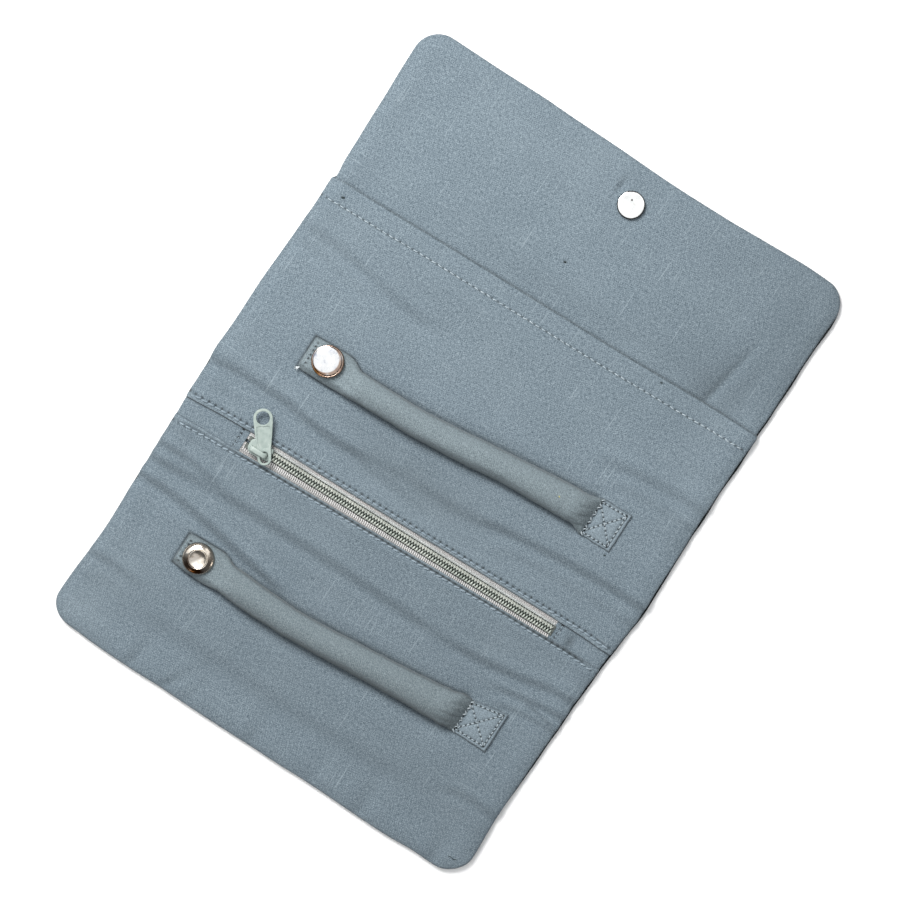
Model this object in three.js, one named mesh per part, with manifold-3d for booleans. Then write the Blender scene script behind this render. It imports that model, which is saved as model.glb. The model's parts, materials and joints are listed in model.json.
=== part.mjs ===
// A soft jewelry roll lying open and flat, lining up. Millimetres, +Z up.
// The origin is on the underside, in the middle of the open panel. +Y points to the flap edge.
// Positions on the panel are given as (s, t): s across from the left edge, t down from the flap edge.

import * as THREE from 'three';
import { mergeVertices } from 'three/addons/utils/BufferGeometryUtils.js';
import Module from 'manifold-3d';

// ---------------------------------------------------------------- driving dimensions
const WIDTH = 178;             // across the open roll
const LENGTH = 252;            // flap edge to lower edge
const CORNER_R = 9.5;          // rounded outer corners
const FLAP_FOLD_T = 87;        // flap fold line
const LOWER_FOLD_T = 185;      // lower fold line
const FOLD_GAP = 0.3;          // each side of a fold line

const SHELL_Z = [0, 0.5];      // outer cloth
const WAD_FLAP_Z = [0.6, 1.8]; // wadding, flap
const WAD_MID_Z = [0.6, 1.4];  // wadding, middle
const WAD_LOW_Z = [0.6, 3.0];  // wadding, lower panel
const BACK_Z = [1.5, 1.8];     // back lining of the two pockets
const FLAP_LINING_Z = [2.3, 2.7];
const TAPE_Z = [2.6, 3.0];     // zip tapes
const TOP_Z = [3.1, 3.6];      // visible lining panels
const WAD_INSET = 3.0;         // wadding stops short of the seam

const HEM_T = [63.4, 58.6];    // slip pocket mouth, at the left and right edge
const ZIP_EDGE_UP = [156.2, 151.7];  // folded edge above the zip, at the left and right edge
const ZIP_EDGE_LO = [165.0, 158.6];  // folded edge below the zip

const ZIP_CENTRE = [90.8, 157.4];    // middle of the zip window
const ZIP_TURN = 1.5;                // degrees
const ZIP_WINDOW = 130;              // length of the zip window
const COIL_W = 1.6;                  // each coil
const COIL_GAP = 0.5;                // from the zip's centre line to a coil
const COIL_Z = [3.1, 4.4];
const COIL_X = [-62.3, 63.6];
const TAPE_W = 12;                   // tape edge from the zip's centre line
const STOP_LEN = 1.3;
const SLIDER_X = -58.4;              // slider's middle along the zip, closed
const SLIDER_LEN = 9.2;
const SLIDER_TOP_Z = [4.7, 5.5];
const SLIDER_BOTTOM_Z = [1.95, 2.3];
const BRIDGE_Y = -1.0;               // bridge's line beside the zip's centre line
const BRIDGE_LEG_R = 0.6;
const BRIDGE_Z = [6.85, 7.4];
const PULL_Z = [5.7, 6.6];
const PULL_ANGLE = 123.2;            // from the zip's direction, degrees
const PULL_REACH = 14.0;             // bridge leg to the middle of the big hole
const PULL_R = 3.25;
const PULL_HOLE_R = 2.4;
const PULL_LOOP_R = 2.05;
const PULL_SLOT = [-2.5, 0.9, 1.1];  // slot round the leg: from, to, half width

const TAB_Z = [3.7, 4.4];            // base tab under a bar's free end
const PATCH_Z = [3.7, 4.7];          // sewn anchor patch
const BAR_Z0 = 3.9;                  // underside of a stuffed bar
const BAR_H = 8.5;                   // its height
const BAR_W = 10.4;                  // its width
const BAR_WALL = 0.6;                // sleeve cloth
const BAR_END_Z = [6.4, 7.6];        // flattened free end
const BAR_TAIL_Z = [4.1, 6.0];       // flattened sewn end
const CAP_R = 6.0;
const CAP_Z = 7.7;
const CAP_H = 2.8;
const SHANK_R = 1.5;
const SHANK_HOLE_R = 1.85;

const UPPER_BAR = {
  snap: [35.5, 118.9],
  tab: [[26.7, 113.1], [42.5, 113.1], [42.5, 126.9], [26.9, 127.1]],
  line: [[46.5, 120.2], [58.5, 120.3], [75.5, 119.9], [92.5, 118.5], [110.5, 116.4], [126.5, 114.8], [137.5, 114.0]],
  tail: [143.9, 113.6],
  patch: [[144.7, 106.1], [156.9, 105.7], [157.5, 121.1], [144.9, 121.3]],
};
const LOWER_BAR = {
  snap: [35.4, 203.6],
  tab: [[27.3, 196.4], [42.3, 196.4], [42.3, 210.4], [27.7, 209.8]],
  line: [[46.3, 203.8], [58.3, 204.4], [75.3, 204.7], [92.3, 204.0], [110.3, 202.4], [126.3, 200.9], [138.3, 199.8]],
  tail: [145.3, 199.2],
  patch: [[146.2, 192.2], [160.3, 189.4], [160.5, 205.6], [146.3, 205.6]],
};

const DISC = [94.3, 14.2];           // closure disc on the flap
const DISC_R = 4.8;
const KEEPER = [94.3, 2 * LOWER_FOLD_T - (2 * FLAP_FOLD_T - DISC[1])]; // where it lands, on the lower panel's outside
const KEEPER_R = 4.8;

// ---------------------------------------------------------------- finishes
const finish = (color, roughness, metalness) => () => new THREE.MeshStandardMaterial({ color, roughness, metalness });
const LINING = finish(0x7f939f, 0.95, 0);
const BARCLOTH = finish(0x84938f, 0.95, 0);
const SHELL = finish(0x23292b, 0.95, 0);
const WADDING = finish(0xe8e6df, 1, 0);
const TAPE = finish(0xb9b4a8, 0.9, 0);
const COIL = finish(0xa9b3a6, 0.5, 0);
const PAINTED = finish(0xc3cfc4, 0.4, 0.2);
const SNAP = finish(0xd8cdb8, 0.2, 1);
const SILVER = finish(0xdcdcdc, 0.2, 1);

// ---------------------------------------------------------------- shape helpers
const wasm = await Module();
wasm.setup();

const xy = ([s, t]) => new THREE.Vector2(s - WIDTH / 2, LENGTH / 2 - t);
const at = (pair, s) => pair[0] + (pair[1] - pair[0]) * s / WIDTH;

const roll = new THREE.Group();
const put = (name, geometry, material, parent = roll) => {
  const mesh = new THREE.Mesh(geometry, material());
  mesh.name = name;
  parent.add(mesh);
  return mesh;
};

const clean = (geometry) => {
  const g = geometry.clone();
  g.deleteAttribute('normal');
  g.deleteAttribute('uv');
  return mergeVertices(g, 1e-5);
};
const solid = (geometry) => {
  const g = clean(geometry);
  return new wasm.Manifold(new wasm.Mesh({
    numProp: 3,
    vertProperties: new Float32Array(g.attributes.position.array),
    triVerts: new Uint32Array(g.index.array),
  }));
};
const geometryOf = (manifold) => {
  const m = manifold.getMesh();
  const g = new THREE.BufferGeometry();
  g.setAttribute('position', new THREE.BufferAttribute(new Float32Array(m.vertProperties), 3));
  g.setIndex(new THREE.BufferAttribute(new Uint32Array(m.triVerts), 1));
  return g;
};

// A flat plate of cloth: an outline of points in (s, t), thickness from z[0] to z[1], round holes [s, t, r].
const polygon = (points) => {
  const pts = points.map(xy);
  return new THREE.Shape(THREE.ShapeUtils.isClockWise(pts) ? pts.reverse() : pts);
};
const roundHole = (c, r, sides) => new THREE.Path(Array.from({ length: sides }, (_, i) => {
  const a = -2 * Math.PI * i / sides;
  return new THREE.Vector2(c.x + r * Math.cos(a), c.y + r * Math.sin(a));
}));
const plate = (shape, z, holes = [], sides = 20) => {
  for (const [s, t, r] of holes) {
    shape.holes.push(roundHole(xy([s, t]), r, sides));
  }
  const g = new THREE.ExtrudeGeometry(shape, { depth: z[1] - z[0], bevelEnabled: false });
  g.translate(0, 0, z[0]);
  return g;
};

// A panel of the roll between two t lines, with rounded corners at the flap edge or the lower edge.
const panel = (t0, t1, inset = 0) => {
  const pts = [];
  const arc = (cs, ct, r, a0) => {
    for (let i = 0; i <= 6; i++) {
      const a = a0 + (Math.PI / 2) * i / 6;
      pts.push([cs + r * Math.cos(a), ct + r * Math.sin(a)]);
    }
  };
  const l = inset, r = WIDTH - inset;
  const rad = CORNER_R - inset;
  if (t0 <= 0) {
    const top = inset;
    arc(l + rad, top + rad, rad, Math.PI);
    arc(r - rad, top + rad, rad, 1.5 * Math.PI);
  } else {
    pts.push([l, t0], [r, t0]);
  }
  if (t1 >= LENGTH) {
    const bottom = LENGTH - inset;
    arc(r - rad, bottom - rad, rad, 0);
    arc(l + rad, bottom - rad, rad, 0.5 * Math.PI);
  } else {
    pts.push([r, t1], [l, t1]);
  }
  return polygon(pts);
};

// A closed skin through a row of closed rings of equal count, capped at both ends.
const loft = (rings) => {
  const n = rings[0].length;
  const pos = [];
  const idx = [];
  for (const ring of rings) for (const p of ring) pos.push(p.x, p.y, p.z);
  for (let k = 0; k + 1 < rings.length; k++) {
    for (let i = 0; i < n; i++) {
      const a = k * n + i, b = k * n + (i + 1) % n, c = a + n, d = b + n;
      idx.push(a, b, c, b, d, c);
    }
  }
  const cap = (k, flip) => {
    const c = new THREE.Vector3();
    rings[k].forEach((p) => c.add(p));
    c.divideScalar(n);
    const ci = pos.length / 3;
    pos.push(c.x, c.y, c.z);
    for (let i = 0; i < n; i++) {
      const a = k * n + i, b = k * n + (i + 1) % n;
      if (flip) idx.push(ci, a, b); else idx.push(ci, b, a);
    }
  };
  cap(0, false);
  cap(rings.length - 1, true);
  const g = new THREE.BufferGeometry();
  g.setAttribute('position', new THREE.Float32BufferAttribute(pos, 3));
  g.setIndex(idx);
  return g;
};

// A turned piece: profile points [radius, height], standing on (s, t) at height z.
const turned = (profile, [s, t], z, sides = 24) => {
  const g = new THREE.LatheGeometry(profile.map(([r, h]) => new THREE.Vector2(r, h)), sides);
  g.rotateX(Math.PI / 2);
  const c = xy([s, t]);
  g.translate(c.x, c.y, z);
  const m = clean(g);
  // face outwards whichever way the profile runs
  const p = m.attributes.position, ix = m.index.array;
  const a = new THREE.Vector3(), b = new THREE.Vector3(), d = new THREE.Vector3();
  let volume = 0;
  const kept = [];
  for (let i = 0; i < ix.length; i += 3) {
    if (ix[i] === ix[i + 1] || ix[i + 1] === ix[i + 2] || ix[i] === ix[i + 2]) continue;
    kept.push(ix[i], ix[i + 1], ix[i + 2]);
    a.fromBufferAttribute(p, ix[i]); b.fromBufferAttribute(p, ix[i + 1]); d.fromBufferAttribute(p, ix[i + 2]);
    volume += a.dot(b.clone().cross(d));
  }
  if (volume < 0) for (let i = 0; i < kept.length; i += 3) [kept[i], kept[i + 1]] = [kept[i + 1], kept[i]];
  m.setIndex(kept);
  return m;
};

// ---------------------------------------------------------------- flap
const F1 = FLAP_FOLD_T - FOLD_GAP, F2 = FLAP_FOLD_T + FOLD_GAP;
const L1 = LOWER_FOLD_T - FOLD_GAP, L2 = LOWER_FOLD_T + FOLD_GAP;

put('outer_shell_flap', plate(panel(0, F1), SHELL_Z), SHELL);
put('wadding_flap', plate(panel(0, F1 - WAD_INSET, WAD_INSET), WAD_FLAP_Z), WADDING);
put('flap_lining', plate(panel(0, F1, 0.4), FLAP_LINING_Z, [[...DISC, SHANK_HOLE_R]]), LINING);
put('slip_pocket_flap', plate(polygon([[0.4, at(HEM_T, 0)], [WIDTH - 0.4, at(HEM_T, WIDTH)], [WIDTH - 0.4, F1], [0.4, F1]]), TOP_Z), LINING);
// the disc's shank goes through the lining into a washer on its back
put('closure_magnet_disc', turned([[0, -0.7], [SHANK_R, -0.7], [SHANK_R, 0], [DISC_R - 0.2, 0], [DISC_R, 0.25], [DISC_R, 1.1], [DISC_R - 0.35, 1.5], [0, 1.5]], DISC, 2.8), SILVER);
put('closure_magnet_washer', turned([[SHANK_R + 0.3, 0], [5.2, 0], [5.2, 0.3], [SHANK_R + 0.3, 0.3], [SHANK_R + 0.3, 0]], DISC, 1.9), SILVER);

// ---------------------------------------------------------------- middle
put('outer_shell_middle', plate(panel(F2, L1), SHELL_Z), SHELL);
put('wadding_middle', plate(panel(F2 + WAD_INSET, L1 - WAD_INSET, WAD_INSET), WAD_MID_Z), WADDING);
put('back_lining_middle', plate(panel(F2, L1, 0.4), BACK_Z), LINING);
put('slip_pocket_middle', plate(polygon([[0.4, F2], [WIDTH - 0.4, F2], [WIDTH - 0.4, at(ZIP_EDGE_UP, WIDTH)], [0.4, at(ZIP_EDGE_UP, 0)]]), TOP_Z, [[...UPPER_BAR.snap, SHANK_HOLE_R]]), LINING);
put('lower_lining_middle', plate(polygon([[0.4, at(ZIP_EDGE_LO, 0)], [WIDTH - 0.4, at(ZIP_EDGE_LO, WIDTH)], [WIDTH - 0.4, L1], [0.4, L1]]), TOP_Z), LINING);

// cloth end tabs close the gap beside the zip and cover the ends of its tapes
const endTab = (s0, s1) => {
  const g = 0.35;
  return polygon([[s0, at(ZIP_EDGE_UP, s0) + g], [s1, at(ZIP_EDGE_UP, s1) + g], [s1, at(ZIP_EDGE_LO, s1) - g], [s0, at(ZIP_EDGE_LO, s0) - g]]);
};
put('zip_end_tab_left', plate(endTab(0.4, 25.6), TOP_Z), LINING);
put('zip_end_tab_right', plate(endTab(156.0, WIDTH - 0.4), TOP_Z), LINING);

// ---------------------------------------------------------------- zip, along its own x
const zip = new THREE.Group();
const zc = xy(ZIP_CENTRE);
zip.position.set(zc.x, zc.y, 0);
zip.rotation.z = THREE.MathUtils.degToRad(ZIP_TURN);
roll.add(zip);

const block = (x0, x1, y0, y1, z0, z1) => {
  const g = new THREE.BoxGeometry(x1 - x0, y1 - y0, z1 - z0);
  g.translate((x0 + x1) / 2, (y0 + y1) / 2, (z0 + z1) / 2);
  return g;
};
const tapeX = ZIP_WINDOW / 2 + 8;
put('zip_tape_upper', block(-tapeX, tapeX, COIL_GAP, TAPE_W, ...TAPE_Z), TAPE, zip);
put('zip_tape_lower', block(-tapeX, tapeX, -TAPE_W, -COIL_GAP, ...TAPE_Z), TAPE, zip);

// each coil is a rounded bead along its tape
const coil = (side) => {
  const c = 0.35, y0 = COIL_GAP, y1 = COIL_GAP + COIL_W, z0 = COIL_Z[0], z1 = COIL_Z[1];
  const s = new THREE.Shape([[y0, z0], [y1, z0], [y1, z1 - c], [y1 - c, z1], [y0 + c, z1], [y0, z1 - c]].map(([y, z]) => new THREE.Vector2(side * y, z)));
  const g = new THREE.ExtrudeGeometry(s, { depth: COIL_X[1] - COIL_X[0], bevelEnabled: false });
  g.rotateX(Math.PI / 2);
  g.rotateZ(Math.PI / 2);
  g.translate(COIL_X[0], 0, 0);
  return g;
};
put('zip_coil_upper', coil(1), COIL, zip);
put('zip_coil_lower', coil(-1), COIL, zip);
put('zip_top_stop_upper', block(COIL_X[0] - 0.3 - STOP_LEN, COIL_X[0] - 0.3, 0.5, 2.2, 3.1, 4.3), PAINTED, zip);
put('zip_top_stop_lower', block(COIL_X[0] - 0.3 - STOP_LEN, COIL_X[0] - 0.3, -2.2, -0.5, 3.1, 4.3), PAINTED, zip);
put('zip_bottom_stop', block(COIL_X[1] + 0.3, COIL_X[1] + 1.3, -2.0, 2.0, 3.1, 3.7), PAINTED, zip);

// slider: top and bottom plates joined by the wedge between the coils, side lips over the coils, and a bridge
const sliderPlate = (z0, z1, grow) => {
  const h = SLIDER_LEN / 2;
  const half = [[-h, 1.6], [-h + 1.2, 3.0], [-h + 3.2, 3.4], [h - 2.0, 2.95], [h, 2.6]].map(([x, y]) => [x, y + grow]);
  const pts = [...half, ...half.slice().reverse().map(([x, y]) => [x, -y])];
  const g = new THREE.ExtrudeGeometry(new THREE.Shape(pts.map(([x, y]) => new THREE.Vector2(x + SLIDER_X, -y))), { depth: z1 - z0, bevelEnabled: false });
  g.translate(0, 0, z0);
  return g;
};
const bx = SLIDER_X;
const legX = [bx - 2.6, bx + 2.5];
const post = (x, y, z0, z1, r, sides = 12) => {
  const g = new THREE.CylinderGeometry(r, r, z1 - z0, sides);
  g.rotateX(Math.PI / 2);
  g.translate(x, y, (z0 + z1) / 2);
  return g;
};
let slider = solid(sliderPlate(...SLIDER_TOP_Z, 0));
slider = slider.add(solid(sliderPlate(...SLIDER_BOTTOM_Z, -0.2)));
slider = slider.add(solid(block(bx - 4.4, bx - 1.6, -0.2, 0.2, SLIDER_BOTTOM_Z[1] - 0.1, SLIDER_TOP_Z[0] + 0.1)));
for (const side of [1, -1]) {
  slider = slider.add(solid(block(bx - 2.4, bx + 4.5, Math.min(side * 2.4, side * 3.0) , Math.max(side * 2.4, side * 3.0), 3.3, SLIDER_TOP_Z[0] + 0.1).translate(0, 0, 0)));
}
slider = slider.add(solid(post(legX[0], BRIDGE_Y, SLIDER_TOP_Z[1] - 0.1, BRIDGE_Z[1] - 0.2, BRIDGE_LEG_R)));
slider = slider.add(solid(post(legX[1], BRIDGE_Y, SLIDER_TOP_Z[1] - 0.1, BRIDGE_Z[1] - 0.2, BRIDGE_LEG_R)));
slider = slider.add(solid(block(legX[0] - 0.5, legX[1] + 0.5, BRIDGE_Y - 0.9, BRIDGE_Y + 0.9, ...BRIDGE_Z)));
put('zip_slider_body', geometryOf(slider), PAINTED, zip);

// pull: a flat tab with a round hole at its free end and a slot round the bridge's leg, raised rim left to the finish
const pullGroup = new THREE.Group();
pullGroup.position.set(legX[1], BRIDGE_Y, 0);
pullGroup.rotation.z = THREE.MathUtils.degToRad(PULL_ANGLE);
zip.add(pullGroup);
const arcPoints = (cx, r, a0, a1, n) => Array.from({ length: n + 1 }, (_, i) => {
  const a = a0 + (a1 - a0) * i / n;
  return new THREE.Vector2(cx + r * Math.cos(a), r * Math.sin(a));
});
const loopX = PULL_SLOT[0] + PULL_SLOT[2];
const lean = Math.asin((PULL_R - PULL_LOOP_R) / (PULL_REACH - loopX));
const pullShape = new THREE.Shape([
  ...arcPoints(PULL_REACH, PULL_R, -Math.PI / 2 - lean, Math.PI / 2 + lean, 16),
  ...arcPoints(loopX, PULL_LOOP_R, Math.PI / 2 + lean, 1.5 * Math.PI - lean, 12),
]);
pullShape.holes.push(roundHole(new THREE.Vector2(PULL_REACH - 0.05, 0), PULL_HOLE_R, 24));
pullShape.holes.push(new THREE.Path([
  ...arcPoints(PULL_SLOT[1] - PULL_SLOT[2], PULL_SLOT[2], Math.PI / 2, -Math.PI / 2, 8),
  ...arcPoints(loopX, PULL_SLOT[2], -Math.PI / 2, -1.5 * Math.PI, 8),
]));
const pullGeometry = new THREE.ExtrudeGeometry(pullShape, { depth: PULL_Z[1] - PULL_Z[0], bevelEnabled: false });
pullGeometry.translate(0, 0, PULL_Z[0]);
put('zip_pull_tab', pullGeometry, PAINTED, pullGroup);

// ---------------------------------------------------------------- lower panel
put('outer_shell_lower', plate(panel(L2, LENGTH), SHELL_Z, [[...KEEPER, KEEPER_R + 0.3]]), SHELL);
put('wadding_lower', plate(panel(L2 + WAD_INSET, LENGTH, WAD_INSET), WAD_LOW_Z, [[...KEEPER, 6.2], [...LOWER_BAR.snap, 4.6]]), WADDING);
put('lower_lining', plate(panel(L2, LENGTH, 0.4), TOP_Z, [[...LOWER_BAR.snap, SHANK_HOLE_R]]), LINING);
put('closure_keeper_disc', turned([[0, 0], [KEEPER_R - 0.2, 0], [KEEPER_R, 0.15], [KEEPER_R, 0.5], [SHANK_R, 0.5], [SHANK_R, 1.2], [0, 1.2]], KEEPER, 0), SILVER);
put('closure_keeper_washer', turned([[SHANK_R + 0.3, 0], [5.8, 0], [5.8, 0.35], [SHANK_R + 0.3, 0.35], [SHANK_R + 0.3, 0]], KEEPER, 0.65), SILVER);

// ---------------------------------------------------------------- ring bars
const SIDES = 18;
// one cross-section: width w, height h, centre (s, t, z), across the bar's direction
const ring = ([s, t], dir, w, h, z, power = 2.4) => {
  const out = [];
  const c = xy([s, t]);
  for (let i = 0; i < SIDES; i++) {
    const a = (i / SIDES) * Math.PI * 2;
    const ca = Math.cos(a), sa = Math.sin(a);
    const u = Math.sign(ca) * Math.abs(ca) ** (2 / power) * w / 2;
    const v = Math.sign(sa) * Math.abs(sa) ** (2 / power) * h / 2;
    out.push(new THREE.Vector3(c.x - dir.y * u, c.y + dir.x * u, z + v));
  }
  return out;
};

const ringBar = (prefix, bar) => {
  const curve = new THREE.CatmullRomCurve3(bar.line.map((p) => { const c = xy(p); return new THREE.Vector3(c.x, c.y, 0); }));
  const mid = BAR_Z0 + BAR_H / 2;
  const endMid = (BAR_END_Z[0] + BAR_END_Z[1]) / 2, endH = BAR_END_Z[1] - BAR_END_Z[0];
  const tailMid = (BAR_TAIL_Z[0] + BAR_TAIL_Z[1]) / 2, tailH = BAR_TAIL_Z[1] - BAR_TAIL_Z[0];
  const first = curve.getTangent(0), last = curve.getTangent(1);
  const flatDir = new THREE.Vector3(1, 0, 0);
  const [ss, st] = bar.snap;
  const outer = [], inner = [];
  // flattened free end, under the cap
  outer.push(ring([ss - 6.4, st], flatDir, 11.6, endH, endMid, 5));
  outer.push(ring([ss - 5.6, st], flatDir, 13.2, endH, endMid, 6));
  outer.push(ring([ss + 6.0, st + 0.2], flatDir, 13.4, endH, endMid, 6));
  outer.push(ring([ss + 8.0, st + 0.8], flatDir, 12.4, 3.4, endMid + 0.3, 3.4));
  const at0 = bar.line[0];
  const stations = [];
  const count = 10;
  for (let i = 0; i <= count; i++) {
    const u = i / count;
    const p = curve.getPointAt(u), d = curve.getTangentAt(u);
    stations.push([[p.x + WIDTH / 2, LENGTH / 2 - p.y], d]);
  }
  for (let i = 0; i <= count; i++) {
    const k = i === 0 ? 0.8 : i === count ? 0.86 : 1;
    const w = i === 0 ? BAR_W + 0.4 : i === count ? BAR_W + 1.2 : BAR_W;
    const h = BAR_H * k;
    const z = i === count ? BAR_Z0 + h / 2 : i === 0 ? mid - 0.5 : mid;
    outer.push(ring(stations[i][0], stations[i][1], w, h, z));
    inner.push(ring(stations[i][0], stations[i][1], w - 2 * BAR_WALL, h - 2 * BAR_WALL, z));
  }
  // flattened sewn end, open where it is stitched down
  outer.push(ring(bar.tail, last, 13.0, tailH, tailMid, 4));
  inner.push(ring(bar.tail, last, 11.6, tailH - 1.1, tailMid, 4));
  let sleeve = solid(loft([...outer, ...inner.slice().reverse()]));
  const c = xy(bar.snap);
  const hole = new THREE.CylinderGeometry(SHANK_HOLE_R, SHANK_HOLE_R, 8, 20);
  hole.rotateX(Math.PI / 2);
  hole.translate(c.x, c.y, BAR_END_Z[0]);
  sleeve = sleeve.subtract(solid(hole));
  put(`${prefix}_sleeve`, geometryOf(sleeve), BARCLOTH);
  // the stuffing fills the sleeve, with a small clearance
  const fill = [];
  for (let i = 0; i <= count; i++) {
    const k = i === 0 ? 0.66 : i === count ? 0.8 : 1;
    const w = BAR_W - 2 * BAR_WALL - 0.5, h = (BAR_H - 2 * BAR_WALL - 0.5) * k;
    const z = i === count ? BAR_Z0 + BAR_H * 0.86 / 2 : i === 0 ? mid - 0.5 : mid;
    const sec = stations[i];
    const shift = i === 0 ? 0.5 : i === count ? -0.3 : 0;
    fill.push(ring([sec[0][0] + shift, sec[0][1]], sec[1], w, h, z));
  }
  put(`${prefix}_stuffing`, geometryOf(solid(loft(fill))), WADDING);

  // base tab with the stud; the post goes through the lining, the tab and the stud
  put(`${prefix}_base_tab`, plate(polygon(bar.tab), TAB_Z, [[...bar.snap, SHANK_HOLE_R]]), BARCLOTH);
  put(`${prefix}_snap_post`, turned([[0, 0], [4.2, 0], [4.2, 0.35], [1.1, 0.35], [1.1, 2.7], [0, 2.7]], bar.snap, 2.55, 20), SILVER);
  put(`${prefix}_snap_stud`, turned([[1.4, 0], [4.4, 0], [4.4, 0.4], [2.0, 0.45], [1.7, 0.9], [2.0, 1.3], [1.7, 1.6], [1.4, 1.6], [1.4, 0]], bar.snap, 4.5, 20), SILVER);
  // socket and cap are riveted together through the flattened end
  put(`${prefix}_snap_socket`, turned([[2.3, 0], [4.2, 0], [4.5, 0.3], [4.5, 1.0], [4.2, 1.3], [SHANK_R + 0.3, 1.3], [SHANK_R + 0.3, 1.1], [2.3, 0.95], [2.3, 0]], bar.snap, 5.0, 20), SILVER);
  const h = CAP_H;
  put(`${prefix}_snap_cap`, turned([[0, -1.3], [SHANK_R, -1.3], [SHANK_R, 0], [CAP_R - 0.4, 0], [CAP_R, 0.35], [CAP_R, 0.8], [CAP_R - 0.45, 1.3], [CAP_R - 1.4, 2.0], [CAP_R - 2.8, h - 0.25], [CAP_R - 4.2, h], [0, h - 0.1]], bar.snap, CAP_Z, 32), SNAP);
  put(`${prefix}_anchor_patch`, plate(polygon(bar.patch), PATCH_Z), BARCLOTH);
};
ringBar('upper_bar', UPPER_BAR);
ringBar('lower_bar', LOWER_BAR);

export default roll;
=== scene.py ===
import json
import math

import bmesh
import bpy
import numpy as np
from mathutils import Matrix, Vector

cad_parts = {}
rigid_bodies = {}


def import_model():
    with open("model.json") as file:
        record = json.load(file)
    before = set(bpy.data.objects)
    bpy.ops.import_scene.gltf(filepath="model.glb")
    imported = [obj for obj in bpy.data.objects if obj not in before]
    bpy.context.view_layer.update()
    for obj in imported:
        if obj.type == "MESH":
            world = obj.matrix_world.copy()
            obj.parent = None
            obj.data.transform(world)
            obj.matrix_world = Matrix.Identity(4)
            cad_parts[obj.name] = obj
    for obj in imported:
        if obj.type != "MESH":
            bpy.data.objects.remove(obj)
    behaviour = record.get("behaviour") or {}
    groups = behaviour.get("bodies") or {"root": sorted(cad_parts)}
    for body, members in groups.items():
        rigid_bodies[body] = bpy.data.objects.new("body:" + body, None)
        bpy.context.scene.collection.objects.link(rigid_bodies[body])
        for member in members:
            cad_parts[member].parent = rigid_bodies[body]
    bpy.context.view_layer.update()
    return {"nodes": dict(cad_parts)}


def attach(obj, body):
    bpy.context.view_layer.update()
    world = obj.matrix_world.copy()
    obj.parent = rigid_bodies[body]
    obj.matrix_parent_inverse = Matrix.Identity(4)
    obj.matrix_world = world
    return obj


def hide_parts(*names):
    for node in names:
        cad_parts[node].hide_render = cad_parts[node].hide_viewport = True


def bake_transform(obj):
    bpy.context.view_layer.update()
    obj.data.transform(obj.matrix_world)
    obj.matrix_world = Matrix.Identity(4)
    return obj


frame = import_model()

scene = bpy.context.scene
scene.view_settings.view_transform = "Standard"
NODES = frame["nodes"]
MM = 0.001
WIDTH, LENGTH, CORNER = 178.0, 252.0, 9.5


# ---------------------------------------------------------------- plane of the cloth
# s runs left to right and t from the flap edge down, in mm. CAMERA is where the picture was taken from, in the row frame.
CAMERA = np.array([-10.051, 67.859, 784.932])


def flat_xy(s, t):
    return (0.99836 * s - 0.0043259 * t - 88.30898, 0.0043259 * s - 1.001624 * t + 125.81962)


def place(s, t, z, keep=1.0):
    """Row frame point in mm of something seen at (s, t) that is at height z."""
    s, t, z = np.broadcast_arrays(np.asarray(s, float), np.asarray(t, float), np.asarray(z, float))
    x, y = flat_xy(s, t)
    k = keep * z / CAMERA[2]
    return np.stack([x + (CAMERA[0] - x) * k, y + (CAMERA[1] - y) * k, z], -1)


def smooth(a, b, x):
    q = np.clip((np.asarray(x, float) - a) / (b - a), 0, 1)
    return q * q * (3 - 2 * q)


def bell(x, w):
    return np.exp(-((np.asarray(x, float) / w) ** 2))


_GRADIENTS = {}


def noise(x, y, seed):
    """Smooth gradient noise, about -1 to 1, the same each time."""
    if seed not in _GRADIENTS:
        a = np.random.default_rng(seed).random((64, 64)) * 2 * math.pi
        _GRADIENTS[seed] = (np.cos(a), np.sin(a))
    gx, gy = _GRADIENTS[seed]
    x, y = np.broadcast_arrays(np.asarray(x, float), np.asarray(y, float))
    xi, yi = np.floor(x).astype(int), np.floor(y).astype(int)
    fx, fy = x - xi, y - yi

    def corner(i, j):
        a, b = (xi + i) % 64, (yi + j) % 64
        return gx[a, b] * (fx - i) + gy[a, b] * (fy - j)

    u, v = fx**3 * (fx * (fx * 6 - 15) + 10), fy**3 * (fy * (fy * 6 - 15) + 10)
    top = corner(0, 0) * (1 - u) + corner(1, 0) * u
    low = corner(0, 1) * (1 - u) + corner(1, 1) * u
    return 1.6 * (top * (1 - v) + low * v)


def along(points, soft=1.5):
    """A smooth function through (x, y) points."""
    p = np.array(points, float)
    x = np.arange(p[0, 0] - 30, p[-1, 0] + 30, 0.25)
    first = (p[1, 1] - p[0, 1]) / (p[1, 0] - p[0, 0])
    last = (p[-1, 1] - p[-2, 1]) / (p[-1, 0] - p[-2, 0])
    y = np.interp(x, p[:, 0], p[:, 1])
    y = np.where(x < p[0, 0], p[0, 1] + (x - p[0, 0]) * first, y)
    y = np.where(x > p[-1, 0], p[-1, 1] + (x - p[-1, 0]) * last, y)
    k = np.arange(-int(3 * soft / 0.25), int(3 * soft / 0.25) + 1) * 0.25
    g = np.exp(-((k / soft) ** 2) / 2)
    g /= g.sum()
    pad = len(k) // 2
    y = np.convolve(np.pad(y, pad, "edge"), g, "valid")
    return lambda v: np.interp(v, x, y)


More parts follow.
